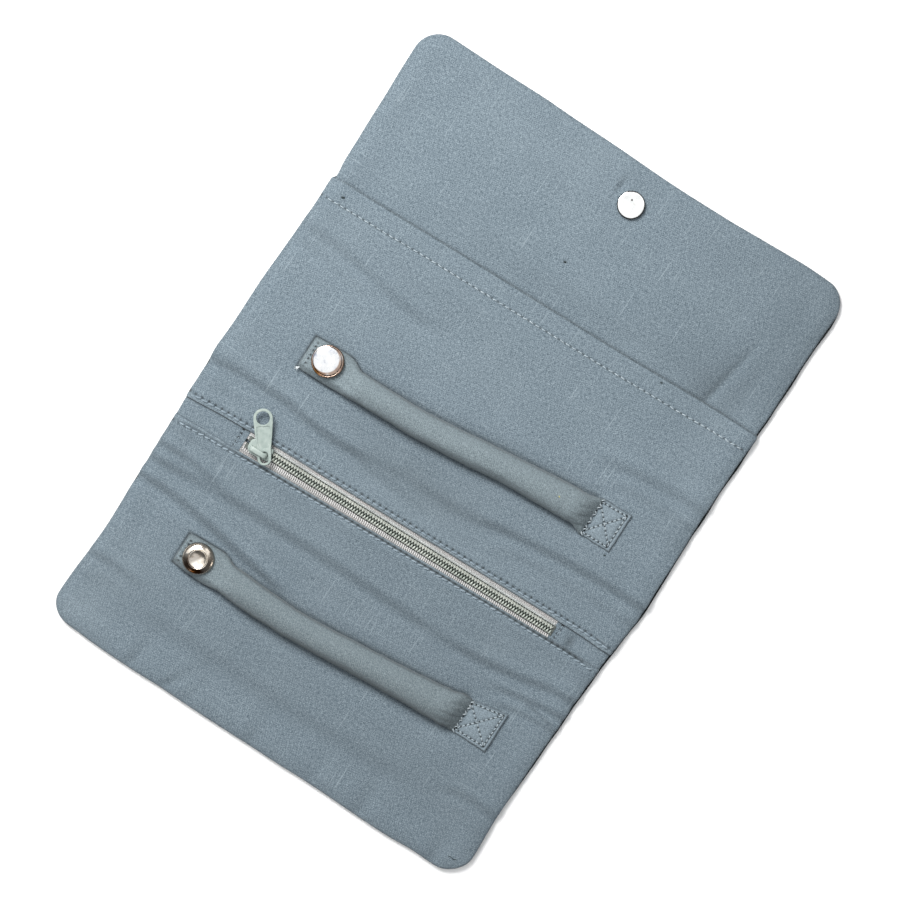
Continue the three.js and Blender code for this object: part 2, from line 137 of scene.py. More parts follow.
# How far the worn, sewn outline strays from a straight-sided one, in mm outwards.
STRAY_TOP = along([(0, .2), (10, .15), (20, .1), (30, .05), (40, .25), (49, .35), (59, .05), (69, 0), (79, -.05), (89, -.3), (99, -.55), (109, -.55), (119, -.35), (129, -.1), (138, .4), (148, .9), (158, 1.4), (168, 1.15), (178, .8)], 2.5)
STRAY_BOTTOM = along([(0, -1.2), (10, -1.2), (20, -.5), (30, -.25), (40, -.2), (49, -.5), (59, -.2), (79, -.2), (89, -.35), (99, -.25), (109, -.5), (119, -.5), (129, -.2), (138, 0), (148, .05), (158, -.75), (168, -.2), (178, 0)], 2.5)
STRAY_LEFT = along([(0, .3), (10, .3), (19, .15), (29, -.25), (39, -.35), (48, -.65), (58, -.8), (68, -.4), (78, -.4), (87, .05), (97, .3), (107, .8), (116, .75), (126, .7), (136, 1.2), (145, .65), (155, .55), (165, .05), (174, 0), (184, -.3), (194, -.4), (204, -.85), (213, -1.05), (223, -.6), (233, .1), (242, .3), (252, .3)], 2.5)
STRAY_RIGHT = along([(0, 0), (10, -.05), (19, -.1), (29, -.45), (39, -.3), (48, -.1), (58, .35), (68, .3), (78, .25), (87, .4), (97, .55), (107, 1.1), (116, 1.3), (126, 1.55), (136, 2.05), (145, 1.25), (155, .4), (165, .2), (174, -.15), (184, .1), (194, -.2), (204, -.2), (213, -.2), (223, -.25), (233, .3), (242, 1.1), (252, 1.0)], 2.5)


def inside(s, t):
    """Distance in mm from the edge seam, on the cloth."""
    qx = np.abs(s - WIDTH / 2) - (WIDTH / 2 - CORNER)
    qy = np.abs(t - LENGTH / 2) - (LENGTH / 2 - CORNER)
    out = np.hypot(np.maximum(qx, 0), np.maximum(qy, 0))
    return CORNER - out - np.minimum(np.maximum(qx, qy), 0)


def strayed(s, t):
    near = lambda d: np.clip(1 - d / 26, 0, 1) ** 2
    tuck = 0.75 * bell(np.hypot(s - WIDTH, t - LENGTH), 9.0)
    s2 = s - (STRAY_LEFT(t) - 0.3) * near(s) + (STRAY_RIGHT(t) - 1.1 - 0.4 * bell(t - 17, 9.0)) * near(WIDTH - s) - tuck
    s2 = s2 + 0.75 * smooth(55, 62.8, t) * (1 - smooth(62.9, 63.9, t)) * near(s) - 0.55 * smooth(49, 57.8, t) * (1 - smooth(57.9, 58.9, t)) * near(WIDTH - s)
    t2 = t - (STRAY_TOP(s) - 0.08) * near(t) + (STRAY_BOTTOM(s) - 0.6) * near(LENGTH - t) - tuck
    return s2, t2


def lay(s, t, z, grow=0.0):
    """Row frame points of cloth at (s, t, z): the outline strays, and the inside is where it was seen."""
    d = inside(s, t)
    s2, t2 = strayed(s, t)
    if np.any(grow):
        s2 = s2 + grow * smooth(140, 172, s) * (1 - smooth(0, 14, d))
    return place(s2, t2, z, smooth(0, 16, d))


# ---------------------------------------------------------------- measured lines on the cloth
HEM = along([(0, 63.4), (14, 63.0), (28, 62.6), (44, 62.0), (58, 61.6), (90, 60.8), (122, 60.0), (138, 59.3), (152, 58.7), (165, 58.4), (178, 58.4)], 4)
HEM_SEW = along([(0, 70.8), (6, 70.7), (14, 70.4), (28, 70.0), (42, 69.3), (56, 69.0), (90, 68.1), (122, 67.2), (138, 66.5), (150, 66.1), (160, 65.5), (178, 64.9)], 3)
ZIP_UP = along([(0, 156.9), (10, 156.3), (24, 155.6), (40, 154.95), (72, 154.35), (112, 153.15), (132, 152.65), (150, 152.2), (165, 152.0), (178, 151.9)], 4)
ZIP_UP_SEW = along([(0, 155.4), (10, 155.2), (20, 154.8), (38, 154.3), (62, 153.7), (112, 152.1), (132, 151.6), (150, 151.0), (165, 150.6), (178, 150.7)], 3)
ZIP_LO = along([(0, 164.7), (26, 164.4), (36, 163.7), (45, 163.3), (72, 162.5), (112, 160.85), (132, 160.3), (150, 159.95), (165, 159.5), (178, 159.1)], 4)
ZIP_LO_SEW = along([(0, 166.6), (8, 166.4), (22, 165.9), (30, 165.55), (38, 165.1), (46, 164.75), (58, 164.25), (72, 163.75), (112, 162.35), (132, 161.65), (150, 161.15), (165, 160.6), (178, 160.2)], 3)
PITCH = 2.55


def crease(s, t, points, w, h, fade=8.0, soft=3.0):
    """A fold line left by use: a low ridge above a valley."""
    line = along(points, soft)
    first, last = points[0][0], points[-1][0]
    span = smooth(first - 1, first + fade, s) * (1 - smooth(last - fade, last + 1, s))
    gap = t - line(s)
    return span * h * (bell(gap + 0.85 * w, w) - 0.9 * bell(gap - 0.85 * w, w))


CREASES = [
    ([(-30, 83.6), (10, 83.0), (25, 84.4), (45, 88), (66, 89.5)], 2.6, 0.26, 14),
    ([(-30, 87.5), (8, 87.8), (22, 90.5), (40, 92)], 2.0, 0.14, 10),
    ([(132, 95), (152, 92.6), (165, 91.4), (210, 90)], 2.4, 0.26, 14),
    ([(140, 100), (156, 98.5), (170, 98), (210, 97)], 2.0, 0.14, 10),
    ([(-30, 140.4), (15, 140.2), (32, 140.6), (50, 142.0), (72, 141.2)], 2.3, 0.42, 14),
    ([(54, 141.9), (66, 141.6), (82, 139.7), (98, 139.0), (112, 138.0), (126, 137)], 2.9, 0.27, 14),
    ([(-30, 136.0), (10, 136.4), (26, 137.5), (40, 138.5)], 1.8, 0.16, 8),
    ([(108, 137.0), (128, 135.0), (143, 133.4), (160, 132.2), (210, 131)], 2.2, 0.36, 14),
    ([(120, 142.0), (140, 139.5), (160, 138.6), (210, 138)], 2.0, 0.14, 10),
    ([(58, 145.4), (72, 144.6), (86, 144.4), (100, 146)], 1.8, 0.16, 10),
    ([(-30, 176.6), (8, 176.2), (18, 176.8), (30, 178)], 1.7, 0.3, 8),
    ([(-30, 182.2), (10, 181.8), (26, 180.4), (48, 179.8), (76, 179.6), (104, 180), (130, 180.4)], 2.3, 0.3, 18),
    ([(-30, 189.2), (8, 189.6), (20, 190.8), (36, 193), (56, 196.6), (70, 199)], 2.1, 0.36, 12),
    ([(120, 180.6), (140, 179.6), (156, 177.2), (168, 174.4), (210, 170)], 2.0, 0.3, 14),
    ([(146, 185.2), (160, 183.2), (170, 181.2), (210, 178)], 1.7, 0.26, 9),
    ([(150, 190.0), (162, 187.8), (172, 186.4), (210, 184)], 1.6, 0.2, 8),
    ([(20, 233.0), (50, 232.2), (90, 232.8), (130, 231.6), (150, 231)], 3.4, 0.16, 20),
    ([(-30, 222), (10, 223), (24, 225)], 1.8, 0.16, 8),
    ([(152, 226), (166, 224), (210, 223)], 1.8, 0.16, 8),
]


def wear(s, t):
    """Undulation, puckers along the edge seam and fold lines, in mm."""
    d = inside(s, t)
    z = 0.26 * noise(s / 47 + 3.1, t / 43 + 1.7, 1) + 0.13 * noise(s / 19, t / 16, 2)
    z = z + 0.05 * noise(s / 7.3, t / 6.1, 3)
    calm = smooth(2, 16, d)
    z = z * (0.35 + 0.65 * calm)
    sides = np.exp(-np.minimum(s, WIDTH - s) / 9.0)
    ends = np.exp(-np.minimum(t, LENGTH - t) / 9.0)
    z = z + sides * 0.34 * noise(s / 21 + 9, t / 5.6, 4) * smooth(0, 2.5, d)
    z = z + ends * 0.26 * noise(s / 7.5, t / 22 + 5, 5) * smooth(0, 2.5, d)
    folds = bell(t - 88, 9) + bell(t - 139, 11) + 1.2 * bell(t - 183, 11) + 0.5 * bell(t - 232, 12)
    z = z + folds * 0.10 * noise(s / 34 + 1.5, t / 6.0, 6)
    for points, w, h, fade in CREASES:
        z = z + 3.4 * crease(s, t, points, 1.15 * w, h, fade)
    return z


def edge_roll(d, low, high, w):
    q = np.clip(d / w, 0, 1)
    return low + (high - low) * np.sqrt(np.clip(1 - (1 - q) ** 2, 0, 1))


def allowance(d):
    """The seam allowance inside makes a slightly raised band along the edge."""
    return 0.22 * smooth(1.2, 4.2, d) * (1 - smooth(6.4, 11.0, d))


def holes(s):
    """1 at the needle holes of a line sewn with the usual pitch."""
    return 0.5 + 0.5 * np.cos(2 * math.pi * s / PITCH)


def sewn(s, gap, depth=0.3, w=0.8, seed=20):
    """A sewn line presses the cloth down, most at its needle holes, and puckers it a little."""
    z = -depth * bell(gap, w) * (0.75 + 0.25 * noise(s / 6.0, 0.5, seed))
    z = z - 0.2 * bell(gap, 0.5) * holes(s) ** 3
    return z + 0.07 * bell(gap, 3.6) * noise(s / 3.4, gap / 6.0, seed + 1)


def z_flap(s, t):
    d = inside(s, t)
    z = edge_roll(d, 1.95, 2.72, 4.6) + allowance(d) + 0.42 * smooth(6, 40, d) + wear(s, t)
    r = np.hypot(s - 94.3, t - 14.2)
    z = z - 0.5 * bell(r, 8.5)
    across = s - 88.1 - 0.08 * (t - 10.5)
    length = t - 10.5
    z = z - 0.75 * bell(across, 1.3) * bell(length, 3.6) + 0.3 * bell(across + 2.2, 1.7) * bell(length, 4)
    grow = smooth(22, 46, t)
    bend = s - 154.7 - 0.18 * (58 - t)
    z = z + grow * (0.5 * bell(bend - 4.8, 4.2) + 0.3 * bell(bend + 6.0, 5.0) - 0.7 * bell(bend, 1.6))
    z = z - 0.4 * bell(np.hypot((s - 120) / 1.5, t - 55.0), 3.6) - 0.3 * bell(np.hypot((s - 79) / 1.6, t - 46.5), 4.5)
    mouth = t - HEM(s)
    z = z - 0.55 * smooth(-13, -1, mouth) * smooth(0, 8, d) - 0.35 * smooth(-1.6, 0.2, mouth) * smooth(0, 6, d)
    z = np.maximum(z, 2.6 * (1 - smooth(5.7, 8.4, r)))
    return np.where(d > 5, np.maximum(z, 1.98), z)


def trough(bar, s, t, first, last):
    """A bar presses a shallow trough into the padded cloth."""
    beyond = np.abs(t - bar.mid(s)) - bar.half(s)
    span = smooth(first, first + 6, s) * (1 - smooth(last - 4, last, s))
    return -0.85 * (0.45 + 0.55 * smooth(42, 52, s)) * span * (1 - smooth(-1.5, 5.0, beyond))


def z_pocket(s, t):
    d = inside(s, t)
    hem, zipped = t - HEM(s), ZIP_UP(s) - t
    z = edge_roll(d, 2.45, 3.28, 5.0) + allowance(d) + 0.18 * smooth(6, 40, d) + wear(s, t)
    z = z + 0.36 * (1 - smooth(6.4, 9.0, hem)) - 0.12 * (1 - smooth(0, 0.8, hem))
    z = z + 0.22 * bell(hem, 3) * noise(s / 30, 2.2, 8) * smooth(0, 12, d)
    z = z + sewn(s, t - HEM_SEW(s), 0.16, 0.85, 22)
    z = z + 0.5 * (1 - smooth(2.2, 7.0, zipped)) - 0.2 * (1 - smooth(0, 0.6, zipped))
    z = z + sewn(s, t - ZIP_UP_SEW(s), 0.2, 0.75, 24)
    return np.where(d > 5, np.maximum(z + trough(UPPER, s, t, 22, 146), 2.4), z)


def pinch(s, t, w):
    """A short sharp crease at the right end of the lower fold."""
    return bell(t - 184.3 - 0.07 * (s - 166.5), w) * smooth(161, 167, s) * (1 - smooth(174, 178, s))


def groove(s, t):
    """Where the sewn line below the zip pulls the cloth in, on the zip's side of the thread."""
    return bell(t - ZIP_LO_SEW(s) + 0.74, 0.55) * (0.35 + 0.65 * smooth(18, 32, s)) * smooth(1, 6, s) * (1 - smooth(168, 177, s))


def z_lower(s, t):
    d = inside(s, t)
    zipped = t - ZIP_LO(s)
    z = edge_roll(d, 2.2, 3.28, 5.0) + allowance(d) + 0.2 * smooth(6, 40, d) + wear(s, t)
    z = z + 0.5 * (1 - smooth(2.2, 7.0, zipped)) - 0.2 * (1 - smooth(0, 0.6, zipped))
    z = z + sewn(s, t - ZIP_LO_SEW(s), 0.2, 0.75, 26) - 0.22 * groove(s, t)
    z = z + trough(LOWER, s, t, 22, 148) + ends_only(s, t) - 0.4 * pinch(s, t, 0.8)
    return np.where(d > 5, np.maximum(z, 2.4), z)


PUCKERS = [(36, 2.2, 0.65, 0.1), (52.5, 2.2, 0.6, 0.6), (61, 2.8, 0.35, 0.3), (87.5, 3.0, 0.4, 0.0), (113, 3.0, 0.3, 0.0), (134.5, 3.0, 0.6, 0.0), (166, 3.0, 0.4, 0.0)]


def puckers(s, t, shift=0.0):
    """Short valleys that run in from the bottom edge seam."""
    up = LENGTH - t
    z = np.zeros_like(s)
    for at, w, h, lean in PUCKERS:
        z = z + h * bell(s - at - shift * w - lean * (up - 5), w * (0.7 + 0.05 * up))
    return z * np.exp(-up / 10.0)


def ends_only(s, t):
    return (0.2 * np.exp(-(LENGTH - t) / 11.0) * noise(s / 9.5 + 4, t / 40 + 1.5, 9) - 1.3 * puckers(s, t)) * smooth(0, 3, inside(s, t))


def z_end_tab(s, t):
    d = inside(s, t)
    z = edge_roll(d, 2.3, 3.22, 4.0) + 0.07 * noise(s / 9, t / 6, 31) + 0.12 * np.exp(-np.minimum(s, WIDTH - s) / 7) * noise(s / 15, t / 4, 32)
    z = z - 0.42 * bell(np.hypot((s - 163.8) / 1.1, (t - 156.2) / 1.8), 2.3)
    for x in (23.3, 158.0):
        z = z - 0.1 * bell(s - x, 0.7)
    return z


class Bar:
    """A ring bar as seen: upper and lower edge lines over s, where it is flat and where it is round."""

    def __init__(self, top, low, flat_end, round_from, round_to, tail, seed):
        self.top, self.low = along(top, 0.7), along(low, 0.8)
        self.flat_end, self.round_from, self.round_to, self.tail, self.seed = flat_end, round_from, round_to, tail, seed

    def mid(self, s):
        return (self.top(s) + self.low(s)) / 2

    def half(self, s):
        return (self.low(s) - self.top(s)) / 2


UPPER = Bar(
    [(26.7, 114.1), (33, 113.7), (41.5, 113.4), (44, 114.1), (46.2, 115.7), (47.4, 116.5), (49, 116.15), (52, 116.1), (58, 115.8), (75, 114.9), (92, 113.0), (109, 110.8), (125, 109.2), (133, 108.4), (138.5, 107.9), (141.5, 107.2), (144, 107.0)],
    [(26.7, 127.2), (40, 127.0), (44, 126.6), (47, 126.2), (52, 126.0), (58, 126.1), (75, 125.8), (92, 124.5), (109, 122.4), (125, 121.3), (133, 120.9), (138.5, 120.6), (141.5, 121.2), (144, 121.6)],
    26.7, 47.5, 137.5, 144.6, 41)
LOWER = Bar(
    [(27, 198.5), (33, 198.0), (41.5, 197.6), (44, 198.1), (46.6, 199.6), (48, 200.4), (49.6, 200.1), (52, 200.1), (58, 200.3), (75, 200.4), (92, 199.2), (109, 197.4), (125, 195.8), (133, 194.9), (138.5, 194.1), (142, 192.9), (145.6, 193.2)],
    [(27, 210.6), (33, 211.2), (40, 211.6), (44, 211.2), (47.5, 210.5), (52, 211.0), (58, 211.6), (75, 211.9), (92, 210.8), (109, 209.5), (125, 208.4), (133, 207.9), (138.5, 207.8), (142, 207.2), (145.6, 206.9)],
    27.6, 48.0, 139.5, 146.2, 43)


# ---------------------------------------------------------------- mesh building
def to_object(name, verts, faces, material, uv=None, tone=None, pale=None, smooth_shade=True):
    mesh = bpy.data.meshes.new(name)
    mesh.from_pydata((np.asarray(verts, float) * MM).tolist(), [], [list(map(int, f)) for f in faces])
    mesh.update()
    if uv is not None:
        loops = np.zeros(len(mesh.loops), np.int32)
        mesh.loops.foreach_get("vertex_index", loops)
        layer = mesh.uv_layers.new(name="Cloth")
        layer.data.foreach_set("uv", (np.asarray(uv, float)[loops] * MM).astype(np.float32).ravel())
    for key, values in (("tone", tone), ("pale", pale)):
        if values is not None:
            mesh.attributes.new(key, "FLOAT", "POINT").data.foreach_set("value", np.asarray(values, np.float32).ravel())
    if smooth_shade:
        mesh.polygons.foreach_set("use_smooth", np.ones(len(mesh.polygons), bool))
    obj = bpy.data.objects.new(name, mesh)
    scene.collection.objects.link(obj)
    if material is not None:
        mesh.materials.append(material)
    return obj


def shell(name, top, bottom, uv, material, tone=None, pale=None, rim=3, bulge=1.0):
    """A closed thin sheet from a grid of top points and a grid of bottom points, with a rounded edge all round."""
    m, n = top.shape[:2]
    index = np.arange(m * n).reshape(m, n)
    a, b, c, d = index[:-1, :-1].ravel(), index[:-1, 1:].ravel(), index[1:, 1:].ravel(), index[1:, :-1].ravel()
    up = np.stack([a, d, c, b], 1)
    centre = np.cross(top[1, 0] - top[0, 0], top[0, 1] - top[0, 0])
    middle = np.cross(top[m // 2 + 1, n // 2] - top[m // 2, n // 2], top[m // 2, n // 2 + 1] - top[m // 2, n // 2])
    if (middle if abs(middle[2]) > abs(centre[2]) else centre)[2] < 0:
        up = up[:, ::-1]
    down = up[:, ::-1] + m * n
    ring = np.concatenate([index[0, :-1], index[:-1, -1], index[-1, :0:-1], index[:0:-1, 0]])
    verts = [top.reshape(-1, 3), bottom.reshape(-1, 3)]
    flat_t, flat_b = verts
    mid, half = (flat_t[ring] + flat_b[ring]) / 2, (flat_t[ring] - flat_b[ring]) / 2
    tangent = np.roll(mid, -1, 0) - np.roll(mid, 1, 0)
    outward = np.stack([tangent[:, 1], -tangent[:, 0], np.zeros(len(ring))], 1)
    outward /= np.maximum(np.linalg.norm(outward, axis=1, keepdims=True), 1e-9)
    area = np.sum(mid[:, 0] * np.roll(mid[:, 1], -1) - np.roll(mid[:, 0], -1) * mid[:, 1])
    if area < 0:
        outward = -outward
    radius = np.linalg.norm(half, axis=1, keepdims=True)
    rows = [ring]
    start = 2 * m * n
    for k in range(1, rim + 1):
        phi = math.pi * k / (rim + 1)
        verts.append(mid + half * math.cos(phi) + outward * radius * math.sin(phi) * bulge)
        rows.append(np.arange(start, start + len(ring)))
        start += len(ring)
    rows.append(ring + m * n)
    faces = [up, down]
    for r0, r1 in zip(rows[:-1], rows[1:]):
        quad = np.stack([r0, r1, np.roll(r1, -1), np.roll(r0, -1)], 1)
        faces.append(quad if area > 0 else quad[:, ::-1])
    every = lambda v: None if v is None else np.concatenate([v.reshape(m * n, -1)] * 2 + [v.reshape(m * n, -1)[ring]] * rim)
    return to_object(name, np.concatenate(verts), np.concatenate(faces), material, every(uv), every(tone), every(pale))


def columns(step=0.85):
    near = [0, 0.12, 0.35, 0.7, 1.15, 1.7, 2.4, 3.2, 4.05, 4.95, 5.9, 6.9]
    inner = np.arange(near[-1] + step, WIDTH - near[-1] - 0.3 * step, step)
    return np.concatenate([near, inner, WIDTH - np.array(near[::-1])])


def corner_rows(n=15):
    return CORNER * (1 - np.cos(np.linspace(0, math.pi / 2, n)))


def indent(t):
    """How far the rounded corners cut into a row at t."""
    gap = np.clip(CORNER - np.minimum(t, LENGTH - t), 0, CORNER)
    return CORNER - np.sqrt(np.maximum(CORNER**2 - gap**2, 0))


def cloth_grid(row_t, cols):
    """row_t: for each row a function of s, or an array over the columns. Returns s, t grids that keep inside the rounded corners."""
    s = np.zeros((len(row_t), len(cols)))
    t = np.zeros_like(s)
    for i, r in enumerate(row_t):
        base = np.asarray(r(cols) if callable(r) else np.full(len(cols), float(r)))
        cut = indent(base)
        s[i] = cut + cols / WIDTH * (WIDTH - 2 * cut)
        t[i] = base
    return s, t


def merge(*objs, name=None):
    """Joins meshes into the first one."""
    bpy.ops.object.select_all(action="DESELECT")
    for o in objs:
        o.select_set(True)
    bpy.context.view_layer.objects.active = objs[0]
    bpy.ops.object.join()
    if name:
        objs[0].name = name
        objs[0].data.name = name
    return objs[0]


def tube(path, radius, sides=8, cap=True):
    """Vertices and faces of a round tube along path points. radius is one value or one per point."""
    path = np.asarray(path, float)
    r = np.broadcast_to(np.asarray(radius, float), (len(path),))
    tangent = np.gradient(path, axis=0)
    tangent /= np.linalg.norm(tangent, axis=1, keepdims=True)
    up = np.array([0, 0, 1.0])
    side = np.cross(tangent, up)
    bad = np.linalg.norm(side, axis=1) < 1e-3
    side[bad] = np.cross(tangent[bad], [1.0, 0, 0])
    side /= np.linalg.norm(side, axis=1, keepdims=True)
    for i in range(1, len(side)):
        if side[i] @ side[i - 1] < 0:
            side[i] = -side[i]
    normal = np.cross(side, tangent)
    a = np.linspace(0, 2 * math.pi, sides, endpoint=False)
    verts = (path[:, None] + r[:, None, None] * (np.cos(a)[None, :, None] * side[:, None] + np.sin(a)[None, :, None] * normal[:, None])).reshape(-1, 3)
    faces = []
    n = len(path)
    for i in range(n - 1):
        for j in range(sides):
            k = (j + 1) % sides
            faces.append((i * sides + j, i * sides + k, (i + 1) * sides + k, (i + 1) * sides + j))
    if cap:
        verts = np.concatenate([verts, path[:1] - tangent[:1] * r[0] * 0.5, path[-1:] + tangent[-1:] * r[-1] * 0.5])
        for j in range(sides):
            k = (j + 1) % sides
            faces.append((n * sides, k, j))
            faces.append((n * sides + 1, (n - 1) * sides + j, (n - 1) * sides + k))
    return verts, faces


class Pile:
    """Collects pieces of geometry into one mesh."""

    def __init__(self):
        self.v, self.f, self.n = [], [], 0

    def add(self, verts, faces):
        self.v.append(np.asarray(verts, float))
        self.f.extend([tuple(i + self.n for i in f) for f in faces])
        self.n += len(verts)

    def make(self, name, material, uv=None):
        verts = np.concatenate(self.v)
        obj = to_object(name, verts, self.f, material, verts[:, :2] if uv is None else uv)
        bm = bmesh.new()
        bm.from_mesh(obj.data)
        bmesh.ops.recalc_face_normals(bm, faces=bm.faces)
        bm.to_mesh(obj.data)
        bm.free()
        return obj


def lathe(name, profile, centre, material, segments=96, squash_y=1.0, tone_of=None):
    """A turned piece: profile is (radius, z) from the axis at the top, round the outside, to the axis below."""
    p = np.array(profile, float)
    a = np.linspace(0, 2 * math.pi, segments, endpoint=False)
    verts, faces, rows = [], [], []
    for r, z in p:
        if r < 1e-6:
            rows.append([len(verts)])
            verts.append((centre[0], centre[1], z))
        else:
            rows.append(list(range(len(verts), len(verts) + segments)))
            verts.extend(zip(centre[0] + r * np.cos(a), centre[1] + r * np.sin(a) * squash_y, np.full(segments, z)))
    for r0, r1 in zip(rows[:-1], rows[1:]):
        for j in range(segments):
            k = (j + 1) % segments
            if len(r0) == 1:
                faces.append((r0[0], r1[j], r1[k]))
            elif len(r1) == 1:
                faces.append((r0[j], r1[0], r0[k]))
            else:
                faces.append((r0[j], r1[j], r1[k], r0[k]))
    tone = None
    if tone_of:
        v = np.array(verts, float)
        turn = np.arctan2(v[:, 1] - centre[1], v[:, 0] - centre[0])
        tone = np.clip(tone_of(np.hypot(v[:, 0] - centre[0], v[:, 1] - centre[1]), turn), 0, 1)
    return to_object(name, verts, faces, material, tone=tone)


def spline(points, n):
    """A smooth polyline of n points through the given ones (Catmull-Rom)."""
    p = np.array(points, float)
    p = np.concatenate([2 * p[:1] - p[1:2], p, 2 * p[-1:] - p[-2:-1]])
    out = []
    for u in np.linspace(0, len(p) - 3 - 1e-9, n):
        i = int(u)
        f = u - i
        a, b, c, d = p[i:i + 4]
        out.append(0.5 * (2 * b + (c - a) * f + (2 * a - 5 * b + 4 * c - d) * f * f + (3 * b - a - 3 * c + d) * f**3))
    return np.array(out)


# ---------------------------------------------------------------- materials
def linear(r, g, b):
    f = lambda c: (c / 12.92 if c <= 0.04045 else ((c + 0.055) / 1.055) ** 2.4)
    return (f(r / 255), f(g / 255), f(b / 255), 1.0)


class Nodes:
    def __init__(self, name):
        self.mat = bpy.data.materials.new(name)
        self.mat.use_nodes = True
        self.t = self.mat.node_tree
        self.t.nodes.clear()
        self.out = self.t.nodes.new("ShaderNodeOutputMaterial")
        self.b = self.t.nodes.new("ShaderNodeBsdfPrincipled")
        self.link(self.b.outputs[0], self.out.inputs[0])

    def link(self, a, b):
        self.t.links.new(a, b)

    def node(self, kind, **props):
        n = self.t.nodes.new(kind)
        for k, v in props.items():
            setattr(n, k, v)
        return n

    def coords(self, kind):
        if kind == "uv":
            return self.node("ShaderNodeUVMap", uv_map="Cloth").outputs[0]
        return self.node("ShaderNodeTexCoord").outputs["Object"]

    def noise(self, co, scale, detail=2.0, rough=0.5, distort=0.0, turn=0.0):
        m = self.node("ShaderNodeMapping")
        m.inputs["Scale"].default_value = scale if hasattr(scale, "__len__") else (scale,) * 3
        m.inputs["Rotation"].default_value = (0, 0, turn)
        self.link(co, m.inputs["Vector"])
        n = self.node("ShaderNodeTexNoise")
        n.inputs["Scale"].default_value = 1.0
        n.inputs["Detail"].default_value = detail
        n.inputs["Roughness"].default_value = rough
        n.inputs["Distortion"].default_value = distort
        self.link(m.outputs[0], n.inputs["Vector"])
        return n.outputs[0]

    def math(self, op, a, b=None, c=None):
        n = self.node("ShaderNodeMath", operation=op)
        for i, v in enumerate((a, b, c)):
            if v is None:
                continue
            if hasattr(v, "default_value"):
                self.link(v, n.inputs[i])
            else:
                n.inputs[i].default_value = v
        return n.outputs[0]

    def ramp(self, fac, stops, interpolation="EASE"):
        r = self.node("ShaderNodeValToRGB")
        r.color_ramp.interpolation = interpolation
        while len(r.color_ramp.elements) < len(stops):
            r.color_ramp.elements.new(0.5)
        for e, (at, colour) in zip(r.color_ramp.elements, stops):
            e.position = at
            e.color = colour if hasattr(colour, "__len__") else (colour,) * 3 + (1,)
        self.link(fac, r.inputs[0])
        return r.outputs[0]

    def mix(self, fac, a, b, kind="MIX"):
        n = self.node("ShaderNodeMix", data_type="RGBA", blend_type=kind)
        for i, v in ((0, fac), (6, a), (7, b)):
            if hasattr(v, "default_value"):
                self.link(v, n.inputs[i])
            else:
                n.inputs[i].default_value = v
        return n.outputs[2]

    def attribute(self, name):
        return self.node("ShaderNodeAttribute", attribute_name=name, attribute_type="GEOMETRY").outputs["Fac"]

    def bump(self, height, strength, distance):
        n = self.node("ShaderNodeBump")
        n.inputs["Strength"].default_value = strength
        n.inputs["Distance"].default_value = distance
        self.link(height, n.inputs["Height"])
        self.link(n.outputs[0], self.b.inputs["Normal"])

    def put(self, socket, value):
        if hasattr(value, "default_value"):
            self.link(value, self.b.inputs[socket])
        else:
            self.b.inputs[socket].default_value = value


def cloth(name, dark, mid, light, slub_colour, shadow, kind="uv", pitch=0.84, contrast=1.0, bump=0.5, sheen=0.1, slubs=1.0):
    """Plain-weave cloth: fine uneven threads both ways, sparse slubs along the length, mottling, and a raised weave."""
    n = Nodes(name)
    co = n.coords(kind)
    grain = n.noise(co, (3000, 2800, 2900), 1, 0.5)
    warp = n.noise(co, (2900, 800, 300), 1, 0.5)
    weft = n.noise(co, (850, 2800, 300), 1, 0.5)
    slub = n.noise(co, (2100, 55, 200), 0, 0.45)
    slub_fine = n.noise(co, (90, 2400, 200), 0, 0.45)
    patchy = n.noise(co, (48, 30, 40), 2, 0.5)
    mottle = n.noise(co, (70, 60, 40), 3, 0.55)
    bend = n.noise(co, (140, 140, 140), 2, 0.5)
    sep = n.node("ShaderNodeSeparateXYZ")
    n.link(co, sep.inputs[0])
    k = 2 * math.pi / (pitch * MM)
    drift = n.math("MULTIPLY", bend, 11.0)
    su = n.math("SINE", n.math("MULTIPLY_ADD", sep.outputs[0], k, drift))
    sv = n.math("SINE", n.math("MULTIPLY_ADD", sep.outputs[1], k * 0.93, drift))
    weave = n.math("MULTIPLY", su, sv)
    f = n.math("MULTIPLY_ADD", grain, 0.36, n.math("MULTIPLY", warp, 0.31))
    f = n.math("MULTIPLY_ADD", weft, 0.29, f)
    f = n.math("MULTIPLY_ADD", mottle, 0.04, f)
    f = n.math("MULTIPLY_ADD", weave, 0.055, f)
    w = 0.165 / contrast
    colour = n.ramp(f, [(0.5 - w, dark), (0.5, mid), (0.5 + w, light)], "LINEAR")
    streak = n.math("MAXIMUM", n.ramp(slub, [(0.67, 0.0), (0.84, 0.36 * slubs)]), n.ramp(slub_fine, [(0.67, 0.0), (0.84, 0.24 * slubs)]))
    streak = n.math("MULTIPLY", streak, n.ramp(patchy, [(0.42, 0.1), (0.56, 1.0)]))
    colour = n.mix(streak, colour, slub_colour)
    # pale mixes in the slub colour (worn pale patches and a painted highlight); tone mixes in the shadow colour (dark
    # marks and painted shade)
    colour = n.mix(n.attribute("pale"), colour, slub_colour)
    colour = n.mix(n.attribute("tone"), colour, shadow)
    n.put("Base Color", colour)
    n.put("Roughness", n.ramp(grain, [(0.3, 0.84), (0.7, 0.97)]))
    n.put("Specular IOR Level", 0.15)
    n.put("Sheen Weight", sheen)
    n.put("Sheen Roughness", 0.5)
    h = n.math("MULTIPLY_ADD", weave, 0.35, n.math("MULTIPLY_ADD", warp, 0.5, n.math("MULTIPLY", weft, 0.45)))
    h = n.math("MULTIPLY_ADD", grain, 0.3, h)
    n.bump(h, bump, 0.00020)
    return n.mat


